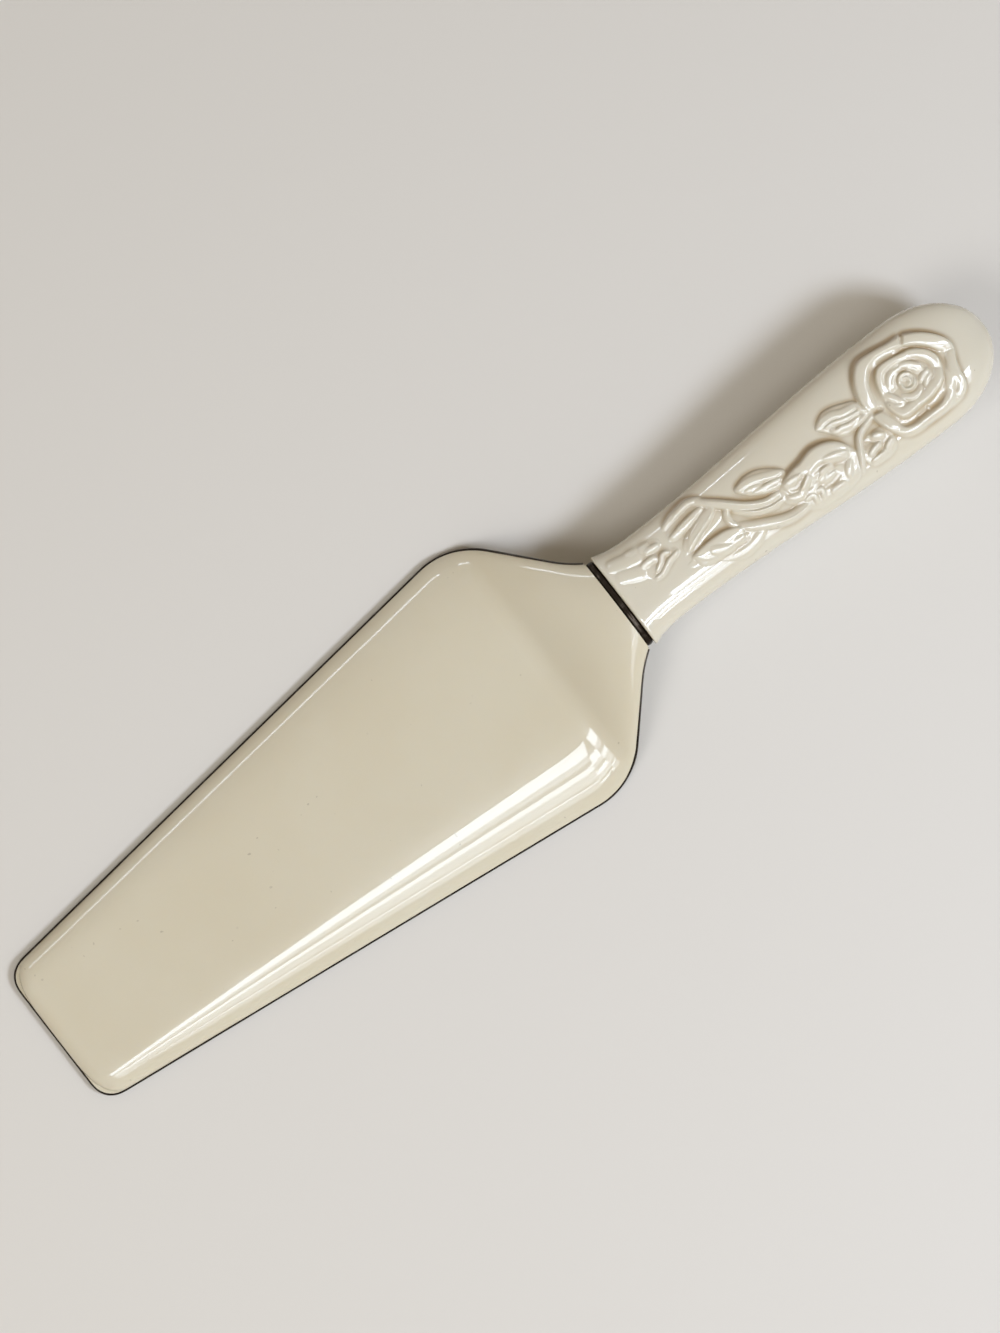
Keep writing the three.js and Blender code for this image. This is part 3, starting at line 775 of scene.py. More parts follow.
def make_handle(porcelain, pool_and_shade_at):
    points, side, rim = handle_skin()
    inner, far_end = handle_hollow(side, rim)
    columns = len(side)
    net = np.concatenate([inner, points])
    normals = np.concatenate([-outward(inner[::-1])[::-1], outward(points)]).reshape(-1, 3)
    vertices = net.reshape(-1, 3)
    faces = rings_to_faces(len(net), columns)

    # A point on the middle line closes each end
    poles = [[HANDLE_X + place, 0, handle_middle(place)] for place in (far_end, HANDLE_LENGTH)]
    first, last = len(vertices), len(vertices) + 1
    final = (len(net) - 1) * columns
    for column in range(columns):
        beside = (column + 1) % columns
        faces.append((first, beside, column))
        faces.append((last, final + column, final + beside))
    vertices = np.vstack([vertices, poles])
    normals = np.vstack([normals, [[-1, 0, 0], [1, 0, 0]]])
    # Tan of pooled glaze and painted shade, read from the relief's net, on the grip's top
    on_top = vertices[:, 2] > handle_middle(vertices[:, 0] - HANDLE_X)
    pool_and_shade = np.where(on_top, pool_and_shade_at(vertices[:, 0] - RELIEF_X, vertices[:, 1]), 0)
    dress(solid("handle_grip", vertices, faces, porcelain, normals, pool_and_shade), "handle_shell")


def make_cement_bed(cement):
    """Cement between the tang and the handle's socket."""
    turns = np.linspace(0, 2 * pi, CEMENT_TURNS, endpoint=False)

    def oval(place, width, thickness, power):
        side, rim = (np.sign(x) * np.abs(x) ** (2 / power) for x in (np.cos(turns), np.sin(turns)))
        return loop(place, width, thickness, side, rim)

    net = []
    places = np.linspace(CEMENT_START, TANG_LENGTH - CEMENT_GAP, CEMENT_ROWS)
    for place in places:
        width, thickness = handle_width(place) - WALL, handle_thickness(place) - WALL
        net.append(oval(place, width - CEMENT_GAP, thickness - CEMENT_GAP, HANDLE_POWER))
    for place in places[::-1]:
        size = 1 + (TANG_TAPER - 1) * place / TANG_LENGTH
        width, thickness = TANG_HALF_WIDTH * size, TANG_HALF_THICKNESS * size
        net.append(oval(place, width + CEMENT_GAP, thickness + CEMENT_GAP, SEAT_POWER))
    net = np.array(net)
    faces = rings_to_faces(len(net), len(turns), ring=True)
    dress(solid("tang_bedding", net.reshape(-1, 3), faces, cement), "tang_cement")


# Relief on the handle. Points are the distance along it from RELIEF_START and the distance across it

RELIEF_START = 0.8
RELIEF_X = HANDLE_X + RELIEF_START
STEP = 0.125
NET_U = np.arange(-0.5, 96, STEP)
NET_V = np.arange(-12.5, 12.5, STEP)
SOFTNESS = 0.13
FOOT_CELLS = 4  # how far the softening spreads a sprig's foot
FOOT_HEIGHT = 0.035  # where a sprig is lower than this, the handle is bare
FIRST_SINK = 0.015  # how far a ring of cells round each sprig lies under the relief, and the next ring
SECOND_SINK = 0.3
ROOT_DEPTH = 0.6
CREST_POWER = 0.62  # less gives a ridge a fuller crest and a steeper foot
END_BLUNTNESS = 0.4  # less gives a ridge blunter ends
END_WIDTH_SHARE = 0.45
# Pooled glaze and painted shade on the relief
POOL_AND_SHADE_SIZE = 0.75
POOL_AND_SHADE_START = 0.05  # pooled glaze and painted shade start where a place lies this far under what is round it
HOLLOW_POOL_AND_SHADE_FULL = 0.38
SHADE_SIDE_FULL = 0.55
SHADE_SIDE_CELLS = 6  # how far onto a sprig's +Y side, away from the key light, the painted shade reaches
END_HAIR = 0.01
SIDE_SHARE = 0.999


def ground_height(u, v):
    u = np.clip(u + RELIEF_START, 0, HANDLE_LENGTH - END_HAIR)
    across = np.clip(np.abs(v) / handle_width(u), 0, SIDE_SHARE) ** HANDLE_POWER
    return handle_middle(u) + handle_thickness(u) * (1 - across) ** (1 / HANDLE_POWER)


def curve(points, closed=False, spans=6):
    """A smooth line through the points."""
    knots = np.array(points, float)
    if closed:
        knots = np.vstack([knots[-1:], knots, knots[:2]])
    else:
        knots = np.vstack([2 * knots[0] - knots[1], knots, 2 * knots[-1] - knots[-2]])
    t = np.linspace(0, 1, spans, endpoint=False)[:, None]
    line = []
    for a, b, c, d in zip(knots, knots[1:], knots[2:], knots[3:]):
        bend = 2 * a - 5 * b + 4 * c - d + t * (3 * b - a - 3 * c + d)
        line.append(b + t / 2 * (c - a + t * bend))
    line.append(knots[-2][None])
    return np.vstack(line)


def distance_to(line, reach):
    """Distance from the net's points to the line, out to that reach, less than 0 on its left side,
    and the place along the line from 0 to 1."""
    distance = np.full((len(NET_U), len(NET_V)), np.inf)
    place = np.zeros_like(distance)
    steps = np.linalg.norm(np.diff(line, axis=0), axis=1) + 1e-9
    done = 0
    for a, b, step in zip(line, line[1:], steps):
        low, high = np.minimum(a, b) - reach, np.maximum(a, b) + reach
        rows = slice(*np.searchsorted(NET_U, (low[0], high[0])))
        columns = slice(*np.searchsorted(NET_V, (low[1], high[1])))
        du, dv = NET_U[rows, None] - a[0], NET_V[None, columns] - a[1]
        along_u, along_v = (b - a) / step
        share = np.clip((du * along_u + dv * along_v) / step, 0, 1)
        away = np.hypot(du - share * step * along_u, dv - share * step * along_v)
        away = np.where(du * along_v - dv * along_u < 0, -away, away)
        closer = np.abs(away) < np.abs(distance[rows, columns])
        here = (done + share * step) / steps.sum()
        place[rows, columns] = np.where(closer, here, place[rows, columns])
        distance[rows, columns] = np.where(closer, away, distance[rows, columns])
        done += step
    return distance, place


def inside(line):
    """Which of the net's points lie inside a closed line."""
    crossed = np.zeros((len(NET_U), len(NET_V)), bool)
    u, v = NET_U[:, None], NET_V[None, :]
    for a, b in zip(line, np.roll(line, -1, axis=0)):
        if a[1] == b[1]:
            continue
        between = (a[1] > v) != (b[1] > v)
        crossed ^= between & (u < a[0] + (v - a[1]) * (b[0] - a[0]) / (b[1] - a[1]))
    return crossed


def body(points, height, edge):
    """A low pad inside a closed outline, with a rounded border of that width."""
    line = curve(points, closed=True)
    distance, _ = distance_to(line, edge)
    rim = np.clip(np.abs(distance) / edge, 0, 1)
    return np.where(inside(line), height * np.sqrt(1 - (1 - rim) ** 2), 0)


def stroke(left, right, height, points):
    """A ridge along a line that falls to its left and right over those widths and dies away at its ends.
    Taken away instead of added, it is a groove."""
    distance, place = distance_to(curve(points), max(left, right))
    swell = np.sin(pi * np.clip(place, 0.001, 0.999)) ** END_BLUNTNESS
    width = np.where(distance < 0, left, right) * mix(END_WIDTH_SHARE, 1, swell)
    fall = np.clip(np.abs(distance) / width, 0, 1)
    return height * swell * (1 - fall * fall) ** CREST_POWER


def blurred(field, size):
    cells = int(3 * size / STEP)
    weights = np.exp(-(np.arange(-cells, cells + 1) * STEP / size) ** 2 / 2)
    weights /= weights.sum()
    for axis, length in enumerate(field.shape):
        padded = np.pad(field, [(cells, cells) if i == axis else (0, 0) for i in (0, 1)], mode="edge")
        shifted = (padded.take(range(i, i + length), axis=axis) for i in range(len(weights)))
        field = sum(weight * part for weight, part in zip(weights, shifted))
    return field


# Stretches of line that a stem or leaf shares with the thin crest along it
ROSE_STEM_LINE = [(64.4, -2.3), (62.7, -3.5), (61.4, -5.6), (60.2, -8)]
MAIN_STEM_LINE = [(27.6, 6), (29.6, 4.2), (31.4, 2.5), (33.4, 0.7), (35.8, -0.9), (38.4, -1.9)]
MAIN_STEM_FORK_LINE = [(32.2, 0), (34, -1.7), (36, -2.8), (38.4, -3.5)]
SIDE_STEM_LINE = [(34.4, -5.8), (36.6, -7), (39.8, -8.2), (43, -8.5)]
UPPER_LEAF_LINE = [(19.4, 0.8), (21.6, 1.7), (24.2, 2.6), (26.4, 3.5)]

# Each sprig: the outline of its pad with the pad's height and border, its ridges, folds on top of them,
# and grooves. A ridge, fold or groove is its widths to the left and right of its line, its height and
# the line's points.
SPRIGS = {}

SPRIGS["rose_outer_petals"] = {
    "outline": [(67.2, 0), (67.3, 3.6), (68.4, 6.8), (70.6, 9.6), (73, 10.8), (77, 10.5), (80.5, 10),
        (83.8, 9.8), (87, 8.1), (90, 5.2), (92, 2.2), (92, 0), (90.6, -3), (89.9, -6), (88.8, -8.8),
        (86.5, -10.4), (82, -10.7), (76, -10.4), (71.7, -9.4), (69.2, -6.6), (67.9, -2.8)],
    "pad": (0.5, 0.6),
    "ridges": [
        (0.75, 3, 0.95, [(68.1, -0.8), (68.2, 2.4), (69.2, 5.9), (71.2, 8.7), (73.4, 9.9), (77, 9.7),
            (80, 9.2), (83.8, 8.9)]),
        (0.7, 3, 0.95, [(82.8, 9.1), (85.4, 8), (87.8, 6.4), (89.9, 4.2), (91.2, 1.9), (91.4, -0.2)]),
        (0.9, 2, 0.7, [(91.2, 0.2), (89.9, -2.2), (88.9, -4.4), (89, -6.8), (88.1, -8.7), (86, -10)]),
        (1.4, 1.5, 0.62, [(85.9, -6.4), (84.6, -8.4), (82, -9.4), (78, -9.3), (74.5, -9.4), (72.1, -8.8),
            (70.9, -7.4), (70.2, -5.4)]),
        (0.8, 2.2, 0.7, [(70.8, -8.2), (69.4, -5.6), (68.7, -3), (68.8, -0.8)]),
        (1.2, 1.4, 0.5, [(87.9, -3), (87, -5.4), (85.4, -7.6)]),
        (0.5, 0.5, 0.3, [(79, -6.9), (79.2, -8)]),
    ],
    "grooves": [
        (0.9, 0.8, 0.3, [(71.5, 0.6), (72, 3.6), (73.3, 6.5), (75.8, 7.9), (79.4, 7.6), (82.2, 6.6),
            (84.6, 5.2), (87, 2.6), (88, -0.2), (87.6, -2.8)]),
        (1.5, 1.5, 0.5, [(72.2, -5.6), (74, -7.2), (77, -7.3), (81, -7.2), (84.2, -6)]),
        (0.7, 0.7, 0.5, [(67.2, -0.6), (69.4, -0.9), (71, -1.4)]),
        (0.5, 0.5, 0.5, [(82.7, 7.4), (84.4, 10)]),
    ],
}

SPRIGS["rose_inner_petals"] = {
    "outline": [(71.7, -2.3), (72, 1), (72.6, 3.4), (73.6, 5.6), (75.6, 6.9), (78, 6.9), (80.4, 6.5),
        (82.6, 6.1), (84.9, 4.9), (87, 2.6), (87.7, 0), (87, -2.6), (85, -5), (82, -5.9), (77.5, -6.2),
        (73.4, -6.1)],
    "pad": (0.75, 0.6),
    "ridges": [
        (0.6, 2.2, 0.7, [(72.7, 0.4), (72.9, 2.6), (73.8, 4.7), (75.4, 6.2), (77.6, 6.3), (80, 5.9),
            (82, 5.4), (83.2, 4.6)]),
        (0.6, 2.2, 0.7, [(82.4, 5.8), (84.7, 4.5), (86.5, 2.4), (87.1, 0.2), (86.5, -1.8)]),
        (0.8, 2.2, 0.7, [(86.4, -1.6), (84.8, -4), (82.4, -4.9), (79.6, -5.4), (76.8, -5.4)]),
        (0.7, 2, 0.65, [(78.2, -5.3), (75.4, -5.5), (73.3, -5.1), (72.2, -3.2), (72.2, -0.8)]),
        (0.9, 1, 0.5, [(72.4, 1.3), (73.4, 0.2), (74.3, -1.4), (75.5, -3.6)]),
        (0.6, 1, 0.45, [(72.2, -2), (73.4, -2.6), (75.4, -3.6)]),
        (0.55, 1.4, 0.6, [(74.4, 0.4), (74.9, 2.3), (76.2, 3.7), (78, 4), (79.6, 3.6)]),
        (0.4, 0.9, 0.5, [(75.4, 0.4), (75.8, 1.9), (77, 3), (78.6, 3.3)]),
        (0.55, 1.4, 0.65, [(79, 4.4), (81.2, 3.5), (82.8, 1.8), (83.2, 0)]),
        (0.45, 0.9, 0.5, [(80.3, 3.1), (81.7, 1.8), (82.2, 0.2)]),
        (0.6, 1, 0.5, [(80.9, -1.6), (82.4, -0.7), (84.3, -0.4)]),
        (0.6, 1, 0.5, [(80.8, -4), (82, -2.3), (84.4, -1.2)]),
        (0.6, 1, 0.45, [(82.6, -3.9), (84.2, -2.7), (85.8, -1.8)]),
        (0.7, 1.1, 0.5, [(81, -2.6), (79.2, -3.5), (77.2, -3.2), (75.7, -1.6)]),
    ],
    "grooves": [
        (0.4, 0.4, 0.15, [(74, 2.6), (75.6, 4.6), (78.6, 5), (81.4, 4.4)]),
        (0.4, 0.4, 0.15, [(83.4, 3.4), (84.6, 1), (84.4, -1)]),
    ],
}

SPRIGS["rose_heart"] = {
    "outline": [(76.4, 0.3), (76.8, 1.8), (78.1, 2.7), (79.8, 2.5), (80.8, 1.3), (80.9, -0.5),
        (80.1, -1.7), (78.5, -2.1), (77, -1.4)],
    "pad": (1.05, 0.6),
    "ridges": [
        (0.5, 0.8, 0.5, [(76.8, 0.2), (77.1, 1.5), (78.2, 2.2), (79.5, 1.9), (80.3, 0.8)]),
        (0.7, 0.5, 0.5, [(80.4, -0.2), (79.6, -1.3), (78.3, -1.6), (77.2, -0.9), (77.1, 0.1), (77.7, 1)]),
        (0.4, 0.5, 0.5, [(77.9, 1.1), (78.7, 1.2), (79.3, 0.6), (79.2, -0.3), (78.4, -0.5)]),
    ],
}

SPRIGS["leaf_by_rose"] = {
    "outline": [(56.2, 4), (57.4, 5.3), (59.5, 6.3), (62, 6.1), (64.7, 5.1), (67, 3.9), (68.4, 1.6),
        (68.2, -0.3), (66, -0.9), (62.5, -1.3), (59.8, -0.5), (58, 1.5), (57, 2.8)],
    "pad": (0.55, 0.7),
    "ridges": [
        (1.4, 0.8, 0.5, [(57.4, 4), (59, 4.3), (61, 4.1), (62.6, 3.3), (64.6, 2.9), (66.8, 2.7)]),
        (0.5, 1, 0.55, [(58, 3.1), (60, 3.1), (62, 2.4), (64.2, 1.9), (66.8, 1.6)]),
        (0.5, 1.2, 0.55, [(59.4, 2.3), (59.7, 1.2), (61.3, 1.1), (62.8, 0.6), (66, 0.6)]),
        (0.6, 0.7, 0.5, [(66.8, 3.4), (66.8, 1.8), (67.5, 0.2)]),
        (0.8, 0.9, 0.3, [(62.6, -0.5), (65, -0.4), (67.6, 0)]),
    ],
}

SPRIGS["rose_stem"] = {
    "ridges": [
        (0.5, 0.4, 1.08, [(67, -1.4), *ROSE_STEM_LINE, (59.2, -9.8)]),
        (0.9, 1, 0.95, [(69, -0.7), (66.8, -1.5), *ROSE_STEM_LINE, (58.8, -10.2)]),
    ],
}

SPRIGS["rosebud"] = {
    "outline": [(63, -4.4), (65.4, -3.9), (67.8, -4.1), (69.2, -6), (69.4, -8.4), (68, -10.4),
        (64.8, -11), (61.8, -10.4), (60.8, -8.2), (61.6, -6)],
    "pad": (0.4, 0.9),
    "ridges": [
        (0.6, 1.4, 0.55, [(64.6, -5.1), (66.4, -5), (67.9, -6.2)]),
        (0.6, 1.2, 0.6, [(62.2, -8), (63.8, -7.2), (66, -6.9)]),
        (0.6, 1.1, 0.5, [(61.8, -9.4), (63.4, -9.3), (66, -9.3)]),
        (0.6, 1, 0.5, [(66, -9.6), (67, -8.4), (69, -7.7)]),
    ],
    "grooves": [
        (0.8, 0.7, 0.25, [(62.2, -6.2), (63.6, -5.2), (65.6, -6.1)]),
        (0.5, 0.5, 0.2, [(63.2, -8.5), (66, -8), (66.8, -6.8)]),
    ],
}

SPRIGS["folded_leaf"] = {
    "outline": [(41.5, -1), (43.4, 0.3), (46, 0.9), (49, 1.3), (52.4, 2.1), (55.6, 1.5), (58, 0),
        (59.8, -2.7), (60.6, -5), (59.8, -7.8), (58.4, -10.2), (55, -11.2), (51, -11.3), (47.6, -11),
        (44.8, -9.6), (43.4, -7.4), (41.5, -5.6), (40.7, -3.4)],
    "pad": (0.4, 1.8),
    "ridges": [
        (1.2, 5.2, 1.25, [(42.4, -1.5), (45.6, -0.7), (49, -0.3), (52.4, 0.5), (55.4, 0), (57.8, -1.5),
            (59.6, -4)]),
    ],
    "folds": [
        (0.6, 1.1, 0.35, [(42.6, -1.7), (45, -1.5), (47.6, -1.9)]),
        (0.7, 1.4, 0.6, [(42, -4.1), (43.8, -5), (45.3, -5.2), (46.7, -4.3), (48.8, -2.8)]),
        (0.7, 1.2, 0.4, [(45.8, -6), (47.6, -5.9), (49.6, -5)]),
        (0.8, 1.6, 0.4, [(53.4, -2.2), (56.2, -3.1), (59.2, -4.4)]),
        (0.7, 1.4, 0.6, [(49.6, -5.5), (51.2, -5), (51.9, -4.2), (54.6, -4.1)]),
        (0.6, 1, 0.4, [(50.4, -6), (52, -5.7), (54.2, -5.9)]),
        (0.8, 1.1, 0.5, [(58.4, -5.9), (57.2, -7.2), (56, -9.2)]),
        (0.6, 0.9, 0.5, [(44.8, -7), (46.8, -6.9), (47.3, -7.9), (46.9, -9.6)]),
        (0.6, 0.9, 0.5, [(47.6, -6.8), (49.2, -7), (49.3, -8), (48.6, -9.4)]),
        (0.8, 1.1, 0.45, [(50.6, -9.3), (52.6, -9.2), (54.8, -9.5)]),
    ],
    "grooves": [
        (0.8, 0.8, 0.3, [(43.4, -2.9), (45.6, -3.4), (48.2, -2.2)]),
        (0.8, 0.8, 0.25, [(49.4, -3.3), (52.5, -3), (55, -4.2), (57.4, -5.2)]),
        (0.7, 0.7, 0.25, [(49.9, -7.4), (52.4, -7.6), (54.8, -7)]),
    ],
}

SPRIGS["leaf_mid_handle"] = {
    "outline": [(33.6, 4.2), (35.6, 5.4), (38.2, 5.7), (41, 4.9), (43.5, 3.2), (45.4, 1.2), (44.8, -0.7),
        (42.5, -1.4), (40, -1), (37.6, 0), (35.4, 1.6)],
    "pad": (0.55, 0.7),
    "ridges": [
        (1.4, 0.9, 0.45, [(34.2, 3.9), (35.8, 3.9), (38, 3.6), (40.4, 2.7), (42.4, 1.9), (44.4, 1.4)]),
        (0.5, 1.1, 0.4, [(35.4, 2.9), (37.4, 2.5), (39.6, 1.8)]),
        (0.5, 1.2, 0.5, [(36.6, 1.6), (38.6, 1.2), (41, 0.9), (43.6, 0.3)]),
        (0.5, 0.9, 0.4, [(38.2, 0.3), (40.6, 0), (42.8, -0.5)]),
    ],
}

SPRIGS["main_stem"] = {
    "ridges": [
        (1, 1.6, 1.1, [(23.8, 8.7), (25.4, 7.9), *MAIN_STEM_LINE, (42.2, -2)]),
        (0.6, 1.2, 0.9, [(30.8, 1.6), *MAIN_STEM_FORK_LINE, (41.6, -3.7)]),
        (0.9, 1, 0.7, [(31.6, 2.4), (29.8, 2), (28.9, 0.6), (28.9, -1), (29.8, -2.6)]),
        (0.5, 0.7, 1.28, [(25, 8.2), *MAIN_STEM_LINE, (41.4, -1.8)]),
        (0.4, 0.6, 1.08, [(31.2, 1.1), *MAIN_STEM_FORK_LINE, (41.2, -3.6)]),
    ],
}

SPRIGS["side_stem"] = {
    "ridges": [
        (1.8, 1.2, 0.9, [(29.6, -2.6), (32, -4.4), *SIDE_STEM_LINE, (46.6, -8.2)]),
        (0.5, 0.7, 1.04, [*SIDE_STEM_LINE, (46, -8.2)]),
    ],
}

SPRIGS["leaf_stem_upper"] = {
    "outline": [(17.2, -0.2), (18.6, 1.8), (21.1, 3.7), (24, 4.9), (26.3, 5.5), (28.6, 5.2), (29, 3.2),
        (27.9, 1.3), (25, 0.5), (22, 0), (19.5, -0.7)],
    "pad": (0.15, 1.2),
    "ridges": [
        (2.6, 0.8, 0.8, [(17.4, -0.2), *UPPER_LEAF_LINE, (27.9, 4.8)]),
        (0.5, 0.6, 0.94, [(18, 0), *UPPER_LEAF_LINE, (27.6, 4.5)]),
    ],
}

SPRIGS["leaf_branch_tip"] = {
    "outline": [(15.4, 4.6), (16.4, 6.3), (19, 8), (22, 9.4), (25.6, 9.2), (27.4, 7), (26, 5.4), (22, 4),
        (19, 3.6), (16.6, 3.8)],
    "pad": (0.2, 0.9),
    "ridges": [
        (0.6, 1.7, 0.7, [(15.8, 4.7), (17.4, 5), (20, 5.5), (23, 5.9), (26, 6.1)]),
        (0.8, 1.2, 0.85, [(15.8, 7.3), (18, 8.2), (21, 8.8), (24, 8.9), (27, 7.6)]),
    ],
}

SPRIGS["leaf_stem_lower"] = {
    "outline": [(17, -1.8), (19.4, -0.9), (24, -0.6), (28, -1), (30.8, -2.6), (33.2, -4.4), (35.9, -5.2),
        (34.6, -6.9), (32, -8.2), (29, -9.3), (26, -8.9), (23.2, -7.4), (20.6, -5.2), (18.6, -3.7)],
    "pad": (0.15, 1.2),
    "ridges": [
        (0.9, 4.5, 0.95, [(17.4, -2.1), (20, -1.8), (23.5, -1.7), (27, -2.1), (30.4, -3.6)]),
    ],
    "folds": [
        (1.2, 1.3, 0.3, [(21.4, -2.9), (23.4, -4.4), (25.2, -5.3), (26.6, -5.5)]),
        (1, 1.2, 0.25, [(26.8, -5), (28.8, -5.3), (30.4, -5.9)]),
        (1.6, 1, 0.25, [(24.4, -7.6), (27.5, -8.4), (31, -8), (34.6, -6.4)]),
    ],
}

SPRIGS["leaf_front_upper"] = {
    "outline": [(0.3, 7.5), (1.4, 9), (3, 8.9), (6, 8.5), (9, 8.3), (12, 7.6), (13.8, 6.3), (13.4, 4.7),
        (10.5, 4.2), (8, 4.5), (5, 4.9), (2, 5.8), (0.6, 6.6)],
    "pad": (0.15, 1.4),
    "ridges": [
        (1.6, 2.4, 0.28, [(0.6, 8.3), (2.8, 7.7), (5.4, 6.6), (8.2, 5.4)]),
        (0.8, 1.3, 0.28, [(5.4, 8), (8.4, 7.3)]),
        (0.8, 1.3, 0.3, [(8.6, 7), (11.6, 6.8)]),
        (0.6, 1.2, 0.5, [(9.2, 5.8), (11, 5.8), (13.2, 5.3)]),
    ],
}

SPRIGS["leaf_front_lower"] = {
    "outline": [(0.6, 4.2), (1.6, 5.9), (3.6, 5.5), (5.6, 4.6), (8, 4.4), (10.6, 4.3), (12, 3.9),
        (13.8, 3.7), (16, 2), (15.4, 0.6), (13, -0.2), (10.5, -1.3), (8, -1.2), (6.8, 0.3), (5.2, 1.2),
        (3.5, 1.9), (1.5, 2.8)],
    "pad": (0.12, 1.4),
    "ridges": [
        (1.8, 2.2, 0.25, [(1.2, 4.9), (3, 4.4), (5, 3.3), (7.2, 1.8)]),
        (0.6, 1.2, 0.5, [(6.6, 3.5), (8.6, 3.8), (10.3, 3.7), (10.9, 2.5)]),
        (0.5, 1, 0.6, [(8.8, 0.6), (10.8, 1.8), (11.9, 2.9), (13, 3.1), (14.2, 2.4)]),
        (0.5, 1, 0.6, [(7.6, -0.4), (9.5, -0.4), (11, 0.2), (12.6, 1), (14, 1.3), (15.8, 1.6)]),
    ],
}


def sprig_height(outline=None, pad=None, ridges=(), folds=(), grooves=()):
    """Height of one sprig at the net's points."""
    height = body(outline, *pad) if outline else np.zeros((len(NET_U), len(NET_V)))
    for layer in (ridges, folds):
        if layer:
            height = height + np.max([stroke(*line) for line in layer], axis=0)
    for groove in grooves:
        height = height - stroke(*groove)
    return np.clip(height, 0, None)


def under_level_share(height, level, full):
    """How far a place lies under that level, from 0 to 1, for pooled glaze and painted shade."""
    return np.clip((level - height - POOL_AND_SHADE_START) / full, 0, 1)


def relief_fields():
    """Height of the whole relief, which sprig each place belongs to, and the tan of pooled glaze with
    painted shade in hollows and painted shade on the sprigs' +Y sides.
    """
    fields = np.array([sprig_height(**sprig) for sprig in SPRIGS.values()])

    # The softening carries a sprig's foot outwards a little, onto places that no sprig had
    owner = np.where(fields.max(axis=0) > 0, fields.argmax(axis=0), -1)
    for axis, shift in ((0, 1), (0, -1), (1, 1), (1, -1)) * FOOT_CELLS:
        owner = np.where(owner < 0, np.roll(owner, shift, axis=axis), owner)
    height = blurred(fields.max(axis=0), SOFTNESS)
    # Pooled glaze and painted shade in the relief's hollows
    hollow = under_level_share(height, blurred(height, POOL_AND_SHADE_SIZE), HOLLOW_POOL_AND_SHADE_FULL)
    # Painted shade on the +Y side of each sprig, which faces away from the key light
    moved = np.roll(height, SHADE_SIDE_CELLS, axis=1)
    painted_shade_side = under_level_share(height, blurred(moved, POOL_AND_SHADE_SIZE / 2), SHADE_SIDE_FULL)
    return height, owner, blurred(np.maximum(hollow, painted_shade_side), SOFTNESS)


def look_up(field, u, v):
    """The field's values at points between the net's points, 0 outside it."""
    row, column = (u - NET_U[0]) / STEP, (v - NET_V[0]) / STEP
    within = (row >= 0) & (column >= 0) & (row < len(NET_U) - 1) & (column < len(NET_V) - 1)
    row = np.clip(row, 0, len(NET_U) - 1.001)
    column = np.clip(column, 0, len(NET_V) - 1.001)
    i, j = row.astype(int), column.astype(int)
    s, t = row - i, column - j
    value = (field[i, j] * (1 - s) * (1 - t) + field[i + 1, j] * s * (1 - t)
             + field[i, j + 1] * (1 - s) * t + field[i + 1, j + 1] * s * t)
    return np.where(within, value, 0)


def grown_by_one(mask):
    padded = np.pad(mask, 1)
    return padded[1:-1, 1:-1] | padded[:-2, 1:-1] | padded[2:, 1:-1] | padded[1:-1, :-2] | padded[1:-1, 2:]


def corners_of(cells):
    """The net's points at the corners of those cells."""
    corners = np.zeros((len(NET_U), len(NET_V)), bool)
    for rows in (slice(None, -1), slice(1, None)):
        for columns in (slice(None, -1), slice(1, None)):
            corners[rows, columns] |= cells
    return corners


def block_faces(cells, index, count):
    """Faces of those cells' top, of the back, whose points follow the top's, and of the walls between."""
    i, j = np.nonzero(cells)
    quads = np.stack([index[i, j], index[i + 1, j], index[i + 1, j + 1], index[i, j + 1]], axis=-1)
    faces = [quads, quads[:, ::-1] + count]
    padded = np.pad(cells, 1)
    for di, dj, a, b in ((-1, 0, 0, 3), (1, 0, 2, 1), (0, -1, 1, 0), (0, 1, 3, 2)):
        wall = quads[~padded[1 + i + di, 1 + j + dj]]
        start, end = wall[:, a], wall[:, b]
        faces.append(np.stack([start, end, end + count, start + count], axis=-1))
    return np.vstack(faces).tolist()


def make_sprigs(porcelain):
    """A closed block for each sprig, with the relief as its top and its back inside the handle. Returns a
    function that gives the tan of pooled glaze and painted shade at a place on the handle."""
    height, owner, pool_and_shade = relief_fields()
    u, v = np.meshgrid(NET_U, NET_V, indexing="ij")
    ground = ground_height(u, v)
    surface = ground + height
    slope_u, slope_v = np.gradient(surface, STEP)
    normals = np.stack([-slope_u, -slope_v, np.ones_like(surface)], axis=-1)
    normals /= np.linalg.norm(normals, axis=-1, keepdims=True)
    for number, node in enumerate(SPRIGS):
        own = (owner == number) & (height > FOOT_HEIGHT)
        first = grown_by_one(own)
        second = grown_by_one(first)
        z = surface - np.where(own, 0, np.where(first, FIRST_SINK, SECOND_SINK))
        cells = second[:-1, :-1] & second[1:, :-1] & second[:-1, 1:] & second[1:, 1:]
        used = corners_of(cells)
        index = np.full(used.shape, -1)
        count = used.sum()
        index[used] = np.arange(count)
        top, back = (np.stack([RELIEF_X + u[used], v[used], level[used]], axis=-1)
                     for level in (z, ground - ROOT_DEPTH))
        facing = np.vstack([normals[used], -normals[used]])
        faces = block_faces(cells, index, count)
        piece = solid(node + "_glazed", np.vstack([top, back]), faces, porcelain, facing,
                      np.tile(pool_and_shade[used], 2))
        dress(piece, node)
    return lambda a, b: look_up(pool_and_shade, a, b)


# Floor, background, lamps and camera, in metres

